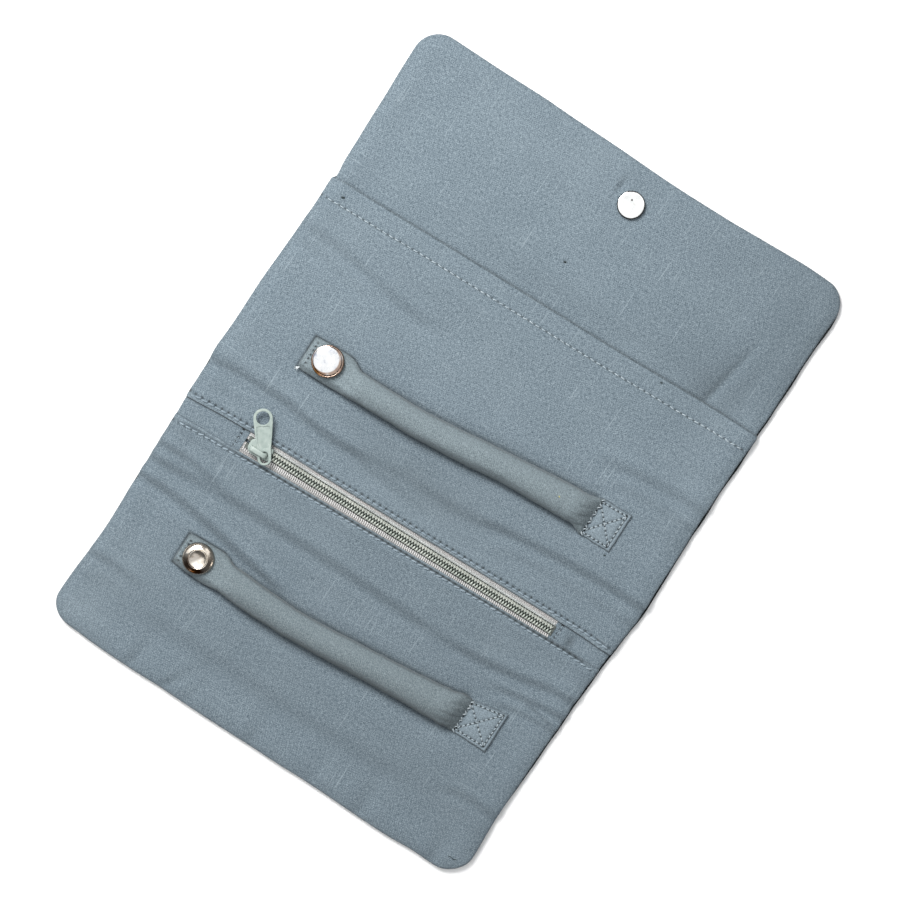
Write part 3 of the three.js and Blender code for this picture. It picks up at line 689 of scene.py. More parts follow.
SHADOW = linear(40, 45, 47)
LINING_COLOURS = (linear(68, 81, 90), linear(105, 118, 127), linear(139, 152, 160), linear(160, 173, 180), SHADOW)
LINING = cloth("lining_cotton", *LINING_COLOURS)
BARCLOTH = cloth("bar_cotton", linear(77, 88, 94), linear(111, 123, 128), linear(142, 153, 158), linear(158, 169, 173), SHADOW, sheen=0.12, slubs=0.3, contrast=0.9)
OUTER = cloth("outer_cotton", linear(14, 19, 19), linear(27, 34, 34), linear(44, 51, 50), linear(62, 71, 69), linear(6, 8, 8), pitch=1.1)


def wadding_material():
    n = Nodes("wadding_felt")
    co = n.coords("uv")
    a = n.noise(co, (260, 260, 260), 5, 0.65, 0.6)
    b = n.noise(co, (900, 120, 400), 3, 0.6, 0.8)
    f = n.math("MULTIPLY_ADD", a, 0.6, n.math("MULTIPLY", b, 0.4))
    n.put("Base Color", n.ramp(f, [(0.35, linear(206, 203, 194)), (0.5, linear(224, 222, 215)), (0.66, linear(240, 239, 235))]))
    n.put("Roughness", n.ramp(b, [(0.3, 0.88), (0.7, 0.98)]))
    n.put("Sheen Weight", 0.2)
    n.bump(f, 0.7, 0.0006)
    return n.mat


WADDING = wadding_material()


def tape_material():
    n = Nodes("zip_tape_weave")
    co = n.coords("uv")
    sep = n.node("ShaderNodeSeparateXYZ")
    n.link(co, sep.inputs[0])
    soft = n.noise(co, (240, 900, 200), 2, 0.5)
    drift = n.math("MULTIPLY", soft, 2.4)
    chev = n.math("PINGPONG", sep.outputs[1], 0.0011)
    ribs = n.math("SINE", n.math("MULTIPLY_ADD", n.math("MULTIPLY_ADD", chev, 0.8, sep.outputs[0]), 2 * math.pi / 0.00072, drift))
    cross = n.math("SINE", n.math("MULTIPLY", sep.outputs[1], 2 * math.pi / 0.00062))
    fine = n.noise(co, (1600, 1600, 900), 2, 0.6)
    f = n.math("MULTIPLY_ADD", ribs, 0.16, n.math("MULTIPLY_ADD", cross, 0.08, n.math("MULTIPLY", fine, 0.7)))
    colour = n.ramp(f, [(0.12, linear(118, 118, 118)), (0.35, linear(172, 171, 171)), (0.62, linear(206, 206, 205))])
    tint_field = n.noise(co, (60, 180, 60), 2, 0.5)
    colour = n.mix(n.ramp(tint_field, [(0.42, 0.0), (0.7, 0.3)]), colour, linear(172, 162, 160))
    # tone mixes in the colour of the painted shade
    n.put("Base Color", n.mix(n.attribute("tone"), colour, linear(34, 46, 43)))
    n.put("Roughness", n.ramp(fine, [(0.3, 0.7), (0.7, 0.9)]))
    n.put("Sheen Weight", 0.2)
    n.bump(n.math("MULTIPLY_ADD", ribs, 0.6, n.math("MULTIPLY", cross, 0.4)), 0.6, 0.00022)
    return n.mat


TAPE = tape_material()


def plastic(name, dark, mid, light, rough=(0.32, 0.5), scale=900, deep=None):
    n = Nodes(name)
    co = n.coords("object")
    a = n.noise(co, scale, 3, 0.6)
    b = n.noise(co, 170, 2, 0.5)
    f = n.math("MULTIPLY_ADD", a, 0.55, n.math("MULTIPLY", b, 0.45))
    colour = n.ramp(f, [(0.34, dark), (0.5, mid), (0.66, light)])
    n.put("Base Color", n.mix(n.attribute("tone"), colour, deep) if deep else colour)
    n.put("Roughness", n.ramp(a, [(0.3, rough[0]), (0.7, rough[1])]))
    n.put("Specular IOR Level", 0.5)
    n.bump(a, 0.12, 0.0001)
    return n.mat


COIL = plastic("zip_coil_nylon", linear(146, 155, 147), linear(172, 179, 171), linear(194, 199, 191), (0.28, 0.45), deep=linear(40, 56, 50))
COIL_THREAD = plastic("zip_coil_thread", linear(128, 132, 126), linear(152, 154, 147), linear(178, 176, 169), (0.6, 0.8), 2500)
CORD = plastic("zip_tape_cord", linear(160, 163, 163), linear(184, 188, 187), linear(208, 211, 210), (0.6, 0.8), 2500)
RIB = plastic("zip_tape_rib", linear(176, 174, 172), linear(202, 201, 200), linear(220, 219, 218), (0.6, 0.8), 2500)
DULL = plastic("zip_stop_dull", linear(58, 64, 60), linear(78, 84, 80), linear(100, 106, 101), (0.45, 0.6), 900)
PAINT = plastic("zip_painted_metal", linear(128, 141, 137), linear(143, 156, 151), linear(157, 168, 163), (0.34, 0.5), 600)
THREAD = plastic("sewing_thread", linear(110, 124, 134), linear(128, 142, 152), linear(148, 161, 170), (0.7, 0.9), 2500)
ZIP_THREAD = plastic("zip_sewing_thread", linear(104, 118, 128), linear(121, 135, 145), linear(140, 153, 162), (0.7, 0.9), 2500)
PATCH_THREAD = plastic("patch_thread", linear(132, 145, 153), linear(154, 166, 173), linear(176, 186, 192), (0.7, 0.9), 2500)
ZIGZAG = plastic("zigzag_thread", linear(146, 158, 165), linear(166, 177, 183), linear(186, 195, 200), (0.7, 0.9), 2500)
FRAY = plastic("frayed_thread", linear(190, 198, 202), linear(212, 218, 221), linear(232, 236, 238), (0.7, 0.9), 2500)


def metal(name, dark, mid, light, rough, scratch=0.25, wear_and_reflection=None, tint=(60, 52, 44), dent=0.00004):
    n = Nodes(name)
    co = n.coords("object")
    a = n.noise(co, 260, 3, 0.55)
    fine = n.noise(co, (5200, 420, 900), 2, 0.6, 0.3, 0.6)
    spots = n.noise(co, 620, 2, 0.5)
    colour = n.ramp(a, [(0.32, dark), (0.5, mid), (0.68, light)])
    if wear_and_reflection:
        colour = n.mix(n.ramp(spots, [(0.60, 0.0), (0.78, 0.5)]), colour, wear_and_reflection)
    # tone mixes in the tint; on the snap caps this paints their reflections
    n.put("Base Color", n.mix(n.attribute("tone"), colour, linear(*tint)))
    n.put("Metallic", 1.0)
    f = n.math("MULTIPLY_ADD", fine, 0.35, n.math("MULTIPLY", spots, 0.65))
    n.put("Roughness", n.ramp(f, [(0.32, rough[0]), (0.68, rough[1])]))
    n.bump(n.math("MULTIPLY_ADD", fine, 0.3 * 0.00004 / dent, a), scratch, dent)
    return n.mat


# The tints of the two caps are the colours of their painted reflections.
CAP = metal("snap_cap_plate", linear(176, 182, 194), linear(226, 226, 226), linear(243, 242, 240), (0.12, 0.24), 0.5, linear(168, 172, 184), (132, 90, 48), 0.00022)
CAP_DISHED = metal("snap_cap_dished", linear(196, 184, 168), linear(228, 218, 204), linear(244, 238, 228), (0.12, 0.24), 0.5, linear(176, 160, 140), (58, 32, 10), 0.00018)
STEEL = metal("snap_steel", linear(190, 190, 188), linear(208, 208, 206), linear(224, 224, 222), (0.2, 0.38), 0.3, linear(165, 162, 156))
MIRROR = metal("closure_plate", linear(222, 222, 220), linear(234, 234, 232), linear(243, 243, 242), (0.10, 0.22), 0.25, linear(205, 202, 196), (20, 17, 14))
ZIPMETAL = metal("zip_stop_metal", linear(176, 184, 178), linear(194, 202, 196), linear(210, 217, 211), (0.25, 0.4), 0.3)

PIT = plastic("closure_pit", linear(30, 26, 24), linear(44, 40, 36), linear(60, 56, 52), (0.6, 0.8))
FLECK = plastic("stray_fleck", linear(150, 146, 78), linear(174, 168, 96), linear(196, 190, 120), (0.6, 0.8))
KNOT = plastic("stray_knots", linear(24, 34, 36), linear(38, 50, 52), linear(58, 70, 72), (0.7, 0.9), 2500)
# ---------------------------------------------------------------- panels
COLS = columns()


def tint_field(s, t):
    """Tone darkens and pale lightens. Tone holds the dark marks round the stray knots and painted shade: a line along
    the edge seam, a darkening towards the bottom, and broad patches, most of them over the creases. Pale holds worn
    pale patches.
    """
    tone = np.zeros_like(s)
    d = inside(s, t)
    # painted shade along the edge seam, where the cloth rolls down
    tone = tone + 0.10 * (1 - smooth(0.0, 1.6, d))
    for x, y, r, k in ((7.3, 67.6, 0.9, 0.25), (138.5, 60.8, 0.8, 0.2), (86, 43.7, 0.9, 0.25)):
        tone = tone + k * bell(np.hypot(s - x, t - y), r)
    # broad painted shade: darker towards the bottom, and in patches, most of them over the creases
    tone = tone + 0.05 * smooth(110, 150, t) + 0.09 * bell(t - 178, 12) * (1 - 0.6 * smooth(140, 170, s)) + 0.08 * bell(t - 227, 10) + 0.06 * smooth(96, 150, s) * (1 - smooth(50, 62, t))
    tone = tone + 0.17 * bell(np.hypot((s - 84) / 3.4, t - 139), 8.0) * (1 + 0.35 * noise(s / 11, t / 5, 53))
    tone = tone + 0.13 * smooth(146, 178, s) * (1 - smooth(20, 66, t)) + 0.07 * bell(s - 150, 14) * bell(t - 52, 14)
    tone = tone + 0.05 * bell(t - 132, 7) * smooth(30, 60, s) + 0.06 * bell(t - 54, 6) * bell(s - 86, 34) + 0.05 * bell(t - 80, 7) * (1 - smooth(50, 120, s)) + 0.11 * bell(np.hypot((s - 174) / 1.4, t - 103), 7)
    pale = 0.16 * bell(np.hypot((s - 7.5) / 1.5, t - 243.5), 6.0) * (0.6 + 0.4 * noise(s / 3, t / 3, 51))
    pale = pale + 0.06 * np.clip(noise(s / 30, t / 26, 52), 0, 1)
    return np.clip(tone, 0, 1), np.clip(pale, 0, 1)


def seam_tone(s, gap, k=0.85, off=0.0):
    """Painted shade along a sewn line: dark needle holes and a soft line of shade."""
    return k * bell(gap - off, 0.46) * holes(s) ** 3 + 0.05 * bell(gap - off, 0.9)


# flap lining
near_mouth = [-4, -3.2, -2.5, -1.9, -1.4, -1.0, -.7, -.45, -.25, -.1, .1, .4, 1, 2, 3.5, 5.5, 8, 11]
rows = list(corner_rows()) + list(np.arange(CORNER + 0.85, 48, 0.9))
for f in np.linspace(0, 1, 12)[1:-1]:
    rows.append((lambda f: (lambda c: 48 * (1 - f) + (HEM(c) + near_mouth[0]) * f))(f))
rows += [(lambda a: (lambda c: HEM(c) + a))(a) for a in near_mouth]
s, t = cloth_grid(rows, COLS)
z = z_flap(s, t)
tone, pale = tint_field(s, t)
mouth = t - HEM(s)
# Painted shade on the flap lining: a dark band from the pocket's hem edge on, with softer shade beside it, and a line
# of shade in the crease near the right side.
tone = tone + 0.08 * bell(mouth, 1.5) + 0.85 * smooth(-0.5, -0.2, mouth) * (0.45 + 0.35 * smooth(6, 22, s) + 0.2 * noise(s / 12, 0.5, 54))
bend = s - 154.7 - 0.18 * (58 - t)
tone = tone + 0.27 * bell(bend + 0.3, 0.9) * smooth(26, 54, t) + 0.13 * bell(bend + 4.5, 4.5) * smooth(34, 58, t)
flap_lining = shell("flap_lining_skin", lay(s, t, z), lay(s, t, z - 0.45), np.stack([s, t], -1), LINING, tone, pale)
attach(flap_lining, "flap")
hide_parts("flap_lining")

# Painted shade along the line where a bar lies on the cloth: stronger on the side towards the flap and round the
# snapped end, fading at the sewn end.
def contact_shade(bar, s, t):
    beyond = np.maximum(np.abs(t - bar.mid(s)) - bar.half(s), bar.flat_end - s)
    side = np.where(t < bar.mid(s), 1.0, 0.7)
    snapped = 1 - smooth(44, 50, s)
    return side * (0.5 + 0.3 * snapped) * bell(beyond - 0.1, 0.75 - 0.3 * snapped) * (1 - smooth(bar.tail - 3, bar.tail, s))


# slip pocket panel, hem to zip
near_hem = [0, .1, .3, .6, 1, 1.5, 2.1, 2.8, 3.6, 4.4, 5.2, 5.8, 6.2, 6.5, 6.75, 7.0, 7.25, 7.5, 7.8, 8.2, 8.8, 9.5]
near_zip = [5.6, 4.8, 4.1, 3.5, 3.0, 2.6, 2.25, 1.95, 1.7, 1.45, 1.2, 1.0, .8, .6, .45, .3, .15, .05, 0]
rows = [(lambda a: (lambda c: HEM(c) + a))(a) for a in near_hem]
for f in np.linspace(0, 1, 92)[1:-1]:
    rows.append((lambda f: (lambda c: (HEM(c) + near_hem[-1]) * (1 - f) + (ZIP_UP(c) - near_zip[0]) * f))(f))
rows += [(lambda b: (lambda c: ZIP_UP(c) - b))(b) for b in near_zip]
s, t = cloth_grid(rows, COLS)
z = z_pocket(s, t)
tone, pale = tint_field(s, t)
# Painted shade on the pocket panel: a dark line at the hem edge, in the needle holes of the hem and zip seams, along
# the edge by the zip, and where the upper bar lies on it. Pale adds a painted highlight on the fold by the zip.
tone = tone + 0.4 * (1 - smooth(0.03, 0.25, t - HEM(s))) * (0.5 + 0.5 * smooth(6, 22, s)) + 0.8 * bell(t - HEM_SEW(s), 0.34) * smooth(-0.1, 0.6, np.cos(2 * math.pi * s / PITCH)) + seam_tone(s, t - ZIP_UP_SEW(s), 0.95, -0.66) + 0.4 * (1 - smooth(0.05, 0.4, ZIP_UP(s) - t)) * smooth(22, 28, s) * (1 - smooth(150, 158, s)) + contact_shade(UPPER, s, t)
pale = np.clip(pale + (0.1 + 0.14 * smooth(22, 36, s) * (1 - smooth(150, 162, s))) * (1 - smooth(1.1, 1.7, ZIP_UP(s) - t)), 0, 1)
thick = 0.45 + 0.4 * (1 - smooth(0.5, 8, t - HEM(s))) + 0.2 * (1 - smooth(0.5, 7, ZIP_UP(s) - t))
slip_pocket = shell("slip_pocket_panel", lay(s, t, z), lay(s, t, z - thick), np.stack([s, t], -1), LINING, np.clip(tone, 0, 1), pale)
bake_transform(slip_pocket)
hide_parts("slip_pocket_flap", "slip_pocket_middle")

# lower lining, zip to the bottom edge
rows = [(lambda b: (lambda c: ZIP_LO(c) + b))(b) for b in near_zip[::-1]]
for f in np.linspace(0, 1, 86)[1:-1]:
    rows.append((lambda f: (lambda c: (ZIP_LO(c) + near_zip[0]) * (1 - f) + (LENGTH - CORNER) * f))(f))
rows += [LENGTH - v for v in corner_rows()[::-1]]
s, t = cloth_grid(rows, COLS)
z = z_lower(s, t)
tone, pale = tint_field(s, t)
# Painted shade on the lower lining: in the groove beside the sewn line below the zip and its needle holes, in that
# seam's needle holes at the left end, where the lower bar lies on it, in the puckers at the bottom edge and in the
# short crease at the right. Pale adds a painted highlight on the fold by the zip.
tone = tone + groove(s, t) * (0.56 + 0.42 * holes(s)) + 0.6 * seam_tone(s, t - ZIP_LO_SEW(s), 0.95, 0.3) * (1 - smooth(18, 32, s)) + contact_shade(LOWER, s, t) + 0.22 * puckers(s, t, -0.8) + 0.3 * pinch(s, t, 0.55)
pale = np.clip(pale + (0.05 + 0.15 * smooth(22, 36, s) * (1 - smooth(150, 162, s))) * (1 - smooth(0.9, 1.5, t - ZIP_LO(s))), 0, 1)
thick = 0.45 + 0.2 * (1 - smooth(0.5, 7, t - ZIP_LO(s)))
lower_lining = shell("lower_lining_panel", lay(s, t, z), lay(s, t, z - thick), np.stack([s, t], -1), LINING, np.clip(tone, 0, 1), pale)
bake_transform(lower_lining)
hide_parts("lower_lining", "lower_lining_middle")

# cloth tabs that cover the ends of the zip
for name, s0, s1 in (("zip_end_tab_left", 0.0, 25.8), ("zip_end_tab_right", 155.9, 178.0)):
    cs = np.linspace(s0, s1, 130)
    fr = np.unique(np.concatenate([np.linspace(0, 1, 76), 0.235 + np.linspace(0, 0.09, 12), 0.765 - np.linspace(0, 0.09, 12)]))
    s = np.repeat(cs[None], len(fr), 0)
    t = (ZIP_UP(s) - 4.0) * (1 - fr[:, None]) + (ZIP_LO(s) + 4.0) * fr[:, None]
    z = z_end_tab(s, t)
    tone, pale = tint_field(s, t)
    x = 23.3 if s0 == 0 else 158.0
    # Painted shade on the tabs: in the needle holes of the tab's sewn line, in the shadow of the panel edges above and
    # below the zip, and in the dent near the right end.
    tone = tone + 1.0 * bell(s - x, 0.5) * smooth(-0.3, 0.3, np.cos(2 * math.pi * t / 1.7)) * (1 - smooth(-1.6, -0.6, t - ZIP_LO(s)))
    tone = tone + 0.95 * np.exp(-np.clip(t - ZIP_UP(s) - 0.4, 0, 9) / 0.28) + 0.4 * np.exp(-np.clip(ZIP_LO(s) - t - 0.3, 0, 9) / 0.25) + 0.4 * bell(np.hypot((s - 163.4) / 0.9, (t - 156.6) / 1.5), 2.0)
    tab = shell(name + "_cloth", lay(s, t, z), lay(s, t, z - 0.3), np.stack([s, t], -1), LINING, np.clip(tone, 0, 1), pale)
    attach(tab, "middle")
    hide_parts(name)

# outer cloth: the underside, turned up to the seam all round
def outer(name, t_rows):
    s, t = cloth_grid(t_rows, COLS[::1])
    d = inside(s, t)
    low = 1.15 * (1 - np.sqrt(np.clip(1 - (1 - np.clip(d / 3.2, 0, 1)) ** 2, 0, 1)))
    low = low + 0.03 * np.clip(noise(s / 40, t / 40, 61), 0, 1) * smooth(3, 20, d)
    up = low + 0.4
    show = np.maximum(0.6 + 0.35 * noise(t / 13, 0.5, 62), 0.42) * (1 - 0.85 * smooth(196, 226, t)) * smooth(5, 14, t)
    return shell(name, lay(s, t, up, show), lay(s, t, low, show), np.stack([s, t], -1), OUTER, np.zeros_like(s), np.zeros_like(s))


SPLIT = 136.0
outer_upper = outer("outer_cloth_upper", list(corner_rows()) + list(np.linspace(CORNER, SPLIT, 92)[1:]))
outer_lower = outer("outer_cloth_lower", list(np.linspace(SPLIT, LENGTH - CORNER, 80)[:-1]) + [LENGTH - v for v in corner_rows()[::-1]])
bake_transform(outer_upper)
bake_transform(outer_lower)
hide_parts("outer_shell_flap")
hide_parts("outer_shell_middle", "outer_shell_lower")


# back lining of the pockets, between the two folds
s, t = cloth_grid(list(np.linspace(97.0, 177.2, 40)), np.linspace(3.2, WIDTH - 3.2, 60))
z = 1.5 + 0.03 * noise(s / 20, t / 16, 64)
back_lining = shell("back_lining_skin", lay(s, t, z + 0.3), lay(s, t, z), np.stack([s, t], -1), LINING, np.zeros_like(s), np.zeros_like(s))
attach(back_lining, "middle")
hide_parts("back_lining_middle")


# wadding: a soft batt inside, in two pieces that meet under the middle
def batt(name, t0, t1, level):
    tt = np.linspace(t0, t1, 70)
    ss = np.linspace(6.0, WIDTH - 6.0, 90)
    t, s = np.meshgrid(tt, ss, indexing="ij")
    d = np.minimum(inside(s, t) - 5.0, 6)
    low = 0.62 + 0.05 * noise(s / 9, t / 9, 71)
    full = level(t) * (0.55 + 0.45 * smooth(0, 6, d)) + 0.06 * noise(s / 8, t / 7, 72)
    return shell(name, lay(s, t, low + full), lay(s, t, low), np.stack([s, t], -1), WADDING)


wad_upper = batt("wadding_batt_upper", 6.0, 135.5, lambda t: 0.85 - 0.1 * smooth(84, 92, t) - 0.3 * bell(t - 60, 10))
wad_lower = batt("wadding_batt_lower", 136.5, 246.0, lambda t: 0.8 + 0.7 * smooth(214, 228, t))
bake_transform(wad_upper)
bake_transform(wad_lower)
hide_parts("wadding_flap")
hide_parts("wadding_middle", "wadding_lower")

# ---------------------------------------------------------------- zip
ZIP_AT, ZIP_TURN = np.array([1.8, -31.4]), math.radians(1.5)


def zip_points(p):
    """Zip frame (x along the zip, y across, z up, mm) to the row frame."""
    p = np.asarray(p, float)
    c, q = math.cos(ZIP_TURN), math.sin(ZIP_TURN)
    return np.stack([ZIP_AT[0] + c * p[..., 0] - q * p[..., 1], ZIP_AT[1] + q * p[..., 0] + c * p[..., 1], p[..., 2]], -1)


for side, sign in (("upper", 1), ("lower", -1)):
    xs = np.linspace(-73, 73, 220)
    ys = np.concatenate([[0.55, 0.8, 1.1, 1.4], np.arange(1.6, 3.7, 0.1), [3.9, 4.4, 5.2, 6.2, 7.4, 8.8, 10.4, 12.0]])
    y, x = np.meshgrid(ys, xs, indexing="ij")
    z = 2.98 - 0.75 * smooth(4.6, 8.5, y) - 0.55 * smooth(66.0, 69.0, np.abs(x)) + 0.03 * noise(x / 6, y / 2, 81) + 0.11 * np.cos(2 * math.pi * (y - 2.25) / 0.64) * smooth(1.7, 1.95, y) * (1 - smooth(3.5, 3.9, y))
    top = zip_points(np.stack([x, sign * y, z], -1))
    low = zip_points(np.stack([x, sign * y, z - 0.36], -1))
    # Painted shade on the tape: in the dips between its ridges, under the coil, and towards the panel edge it runs
    # under; the lower tape's visible band is also darker.
    tone = 0.30 * (0.5 - 0.5 * np.cos(2 * math.pi * (y - 2.25) / 0.64)) ** 2 * smooth(1.7, 1.95, y) + 1.0 * (1 - smooth(1.74, 1.86, y - (0.16 if sign < 0 else 0) + 1.2 * (1 - smooth(-62.6, -61.6, x)))) + 0.25 * smooth(4.0, 6.0, y) + (0.2 * smooth(1.8, 2.0, y) * (1 - smooth(3.7, 4.0, y)) if sign < 0 else 0)
    tape = shell(f"zip_tape_{side}_weave", top, low, np.stack([x, y], -1), TAPE, np.clip(tone, 0, 1), np.zeros_like(x))
    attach(tape, "middle")
    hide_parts(f"zip_tape_{side}")

# coils: each turn of the filament is a bent loop whose head hooks between two turns of the other side
TURN = 1.1


def in_the_gap(obj):
    """Paints shade on the hooked heads, which lie deep between the two rows of loops."""
    v = np.zeros(len(obj.data.vertices) * 3)
    obj.data.vertices.foreach_get("co", v)
    d = v.reshape(-1, 3)[:, :2] / MM - ZIP_AT
    y = np.abs(d[:, 1] * math.cos(ZIP_TURN) - d[:, 0] * math.sin(ZIP_TURN))
    obj.data.attributes.new("tone", "FLOAT", "POINT").data.foreach_set("value", (0.55 * (1 - smooth(0.1, 0.36, y))).astype(np.float32))
    return obj


for side, sign, shift in (("upper", 1, 0.0), ("lower", -1, TURN / 2)):
    teeth, sewing, cords = Pile(), Pile(), Pile()
    count = int(126.8 / TURN)
    for i in range(count):
        x0 = -62.0 + shift + i * TURN
        path = spline([(x0 - 0.22, 1.42, 3.2), (x0 - 0.24, 1.46, 3.66), (x0 - 0.18, 1.18, 4.02), (x0 - 0.06, 0.76, 4.16), (x0, 0.42, 4.0), (x0 + 0.03, 0.14, 3.62), (x0 + 0.05, 0.02, 3.3), (x0 + 0.14, 0.5, 3.14), (x0 + 0.22, 1.3, 3.16)], 18)
        path[:, 1] *= sign
        v, f = tube(zip_points(path), 0.25 + 0.07 * np.exp(-((np.linspace(0, 1, 18) - 0.36) / 0.16) ** 2), 8)
        teeth.add(v, f)
    # thread that holds the coil to the tape, and the raised threads of the tape beside it
    n = 200
    xs = np.linspace(-62.3, 63.6, n)
    if sign > 0:
        v, f = tube(zip_points(np.stack([xs, np.full(n, 1.28), np.full(n, 3.94)], -1)), 0.24, 8)
        sewing.add(v, f)
    for i in range(count):
        x0 = -62.0 + shift + (i + 0.35) * TURN
        if sign > 0:
            path = spline([(x0 - 0.3, 0.58, 4.14), (x0 - 0.09, 0.86, 4.34), (x0 + 0.12, 1.12, 4.3), (x0 + 0.3, 1.34, 4.02)], 9)
            v, f = tube(zip_points(path), 0.22, 7)
            sewing.add(v, f)
        else:
            path = spline([(x0 - 0.1, -1.12, 4.0), (x0 + 0.06, -1.36, 3.9), (x0 + 0.2, -1.56, 3.4)], 7)
            v, f = tube(zip_points(path), 0.16, 6)
            sewing.add(v, f)
    if sign > 0:
        for y, r, step in ((2.42, 0.18, 0.9), (2.02, 0.12, 0.7)):
            for x0 in np.arange(-64.0, 64.6, step):
                path = spline([(x0 - 0.55 * step, y - 0.6 * r, 3.02), (x0, y, 3.2), (x0 + 0.55 * step, y + 0.6 * r, 3.02)], 5)
                v, f = tube(zip_points(path), r, 6)
                cords.add(v, f)
    else:
        for x0 in np.arange(-64.0, 64.6, 0.8):
            path = spline([(x0 - 0.12, -2.02, 2.9), (x0 - 0.06, -2.2, 3.1), (x0 + 0.06, -2.8, 3.16), (x0 + 0.14, -3.6, 3.06)], 7)
            v, f = tube(zip_points(path), 0.19, 6)
            cords.add(v, f)
    coil = merge(in_the_gap(teeth.make(f"zip_coil_{side}_teeth", COIL)), sewing.make("coil_sewing", COIL_THREAD), cords.make("tape_cords", CORD if sign > 0 else RIB))
    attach(coil, "middle")
    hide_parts(f"zip_coil_{side}")


def plate(name, outline, z0, z1, bevel, material, holes_in=(), frame_of=zip_points, soft=3):
    """A flat plate from an outline, with holes and rounded edges. Points in the zip frame, mm."""
    curve = bpy.data.curves.new(name + "_c", "CURVE")
    curve.dimensions = "2D"
    curve.fill_mode = "BOTH"
    curve.extrude = ((z1 - z0) / 2 - bevel) * MM
    curve.bevel_depth = bevel * MM
    curve.bevel_resolution = soft
    for ring, inset in [(outline, bevel)] + [(h, -bevel) for h in holes_in]:
        p = np.asarray(ring, float)
        area = np.sum(p[:, 0] * np.roll(p[:, 1], -1) - np.roll(p[:, 0], -1) * p[:, 1])
        tangent = np.roll(p, -1, 0) - np.roll(p, 1, 0)
        normal = np.stack([tangent[:, 1], -tangent[:, 0]], 1) * np.sign(area)
        normal /= np.linalg.norm(normal, axis=1, keepdims=True)
        p = p - normal * inset
        sp = curve.splines.new("POLY")
        sp.points.add(len(p) - 1)
        sp.use_cyclic_u = True
        for q, (x, y) in zip(sp.points, p):
            q.co = (x * MM, y * MM, 0, 1)
    obj = bpy.data.objects.new(name + "_c", curve)
    scene.collection.objects.link(obj)
    dg = bpy.context.evaluated_depsgraph_get()
    mesh = bpy.data.meshes.new_from_object(obj.evaluated_get(dg))
    bpy.data.objects.remove(obj)
    bpy.data.curves.remove(curve)
    v = np.zeros(len(mesh.vertices) * 3)
    mesh.vertices.foreach_get("co", v)
    v = v.reshape(-1, 3) / MM
    v[:, 2] += (z0 + z1) / 2
    v = frame_of(v) * MM
    mesh.vertices.foreach_set("co", v.ravel())
    bm = bmesh.new()
    bm.from_mesh(mesh)
    bmesh.ops.remove_doubles(bm, verts=bm.verts, dist=1e-6)
    bmesh.ops.recalc_face_normals(bm, faces=bm.faces)
    bm.to_mesh(mesh)
    bm.free()
    mesh.name = name
    mesh.materials.clear()
    mesh.materials.append(material)
    out = bpy.data.objects.new(name, mesh)
    scene.collection.objects.link(out)
    smooth_by_angle(out, 40)
    return out


def smooth_by_angle(obj, degrees):
    bm = bmesh.new()
    bm.from_mesh(obj.data)
    limit = math.radians(degrees)
    for e in bm.edges:
        e.smooth = not (len(e.link_faces) == 2 and e.calc_face_angle(0) > limit)
    for f in bm.faces:
        f.smooth = True
    bm.to_mesh(obj.data)
    bm.free()


def arc(cx, cy, r, a0, a1, n=24):
    a = np.radians(np.linspace(a0, a1, n))
    return [(cx + r * math.cos(v), cy + r * math.sin(v)) for v in a]


# slider: two plates, a neck between them, turned-down lips, and the bridge the pull hangs on
def slider_outline(grow=0.0):
    half = spline([(-62.9, 0), (-62.7, 1.5), (-61.6, 2.65), (-60.0, 3.0), (-57.6, 2.9), (-55.4, 2.6), (-54.0, 2.1), (-53.75, 0)], 40)
    half = np.stack([half[:, 0], np.maximum(half[:, 1], 0) + grow], 1)
    return [tuple(p) for p in half] + [(x, -y) for x, y in half[-2:0:-1]]


top_plate = plate("slider_top", slider_outline(), 4.62, 5.6, 0.34, PAINT)
low_plate = plate("slider_low", slider_outline(-0.1), 1.95, 2.35, 0.12, PAINT)
neck = plate("slider_neck", arc(-60.6, 0, 1.0, 0, 345, 24), 2.2, 4.9, 0.1, PAINT)
lips = []
for sgn in (1, -1):
    ring = [(-61.2, sgn * 2.45), (-60.0, sgn * 2.6), (-57.6, sgn * 2.52), (-55.2, sgn * 2.25), (-54.6, sgn * 2.4), (-55.2, sgn * 2.65), (-57.6, sgn * 2.89), (-60.0, sgn * 2.98), (-61.3, sgn * 2.8)]
    lips.append(plate("slider_lip", ring, 3.35, 4.9, 0.1, PAINT))


def strap(path, width, depth, n_round=4):
    """A rounded strap swept along a path in the zip's x-z plane, at a y offset."""
    path = np.asarray(path, float)
    tangent = np.gradient(path, axis=0)
    tangent /= np.linalg.norm(tangent, axis=1, keepdims=True)
    normal = np.stack([-tangent[:, 2], np.zeros(len(path)), tangent[:, 0]], 1)
    a = np.linspace(0, 2 * math.pi, 20, endpoint=False)
    c, q = np.cos(a), np.sin(a)
    wy = width / 2 * np.sign(c) * np.abs(c) ** 0.6
    wz = depth / 2 * np.sign(q) * np.abs(q) ** 0.6
    verts = path[:, None] + wy[None, :, None] * np.array([0, 1.0, 0]) + wz[None, :, None] * normal[:, None]
    faces = []
    k = len(a)
    for i in range(len(path) - 1):
        for j in range(k):
            faces.append((i * k + j, i * k + (j + 1) % k, (i + 1) * k + (j + 1) % k, (i + 1) * k + j))
    faces.append(tuple(range(k))[::-1])
    faces.append(tuple((len(path) - 1) * k + j for j in range(k)))
    return verts.reshape(-1, 3), faces


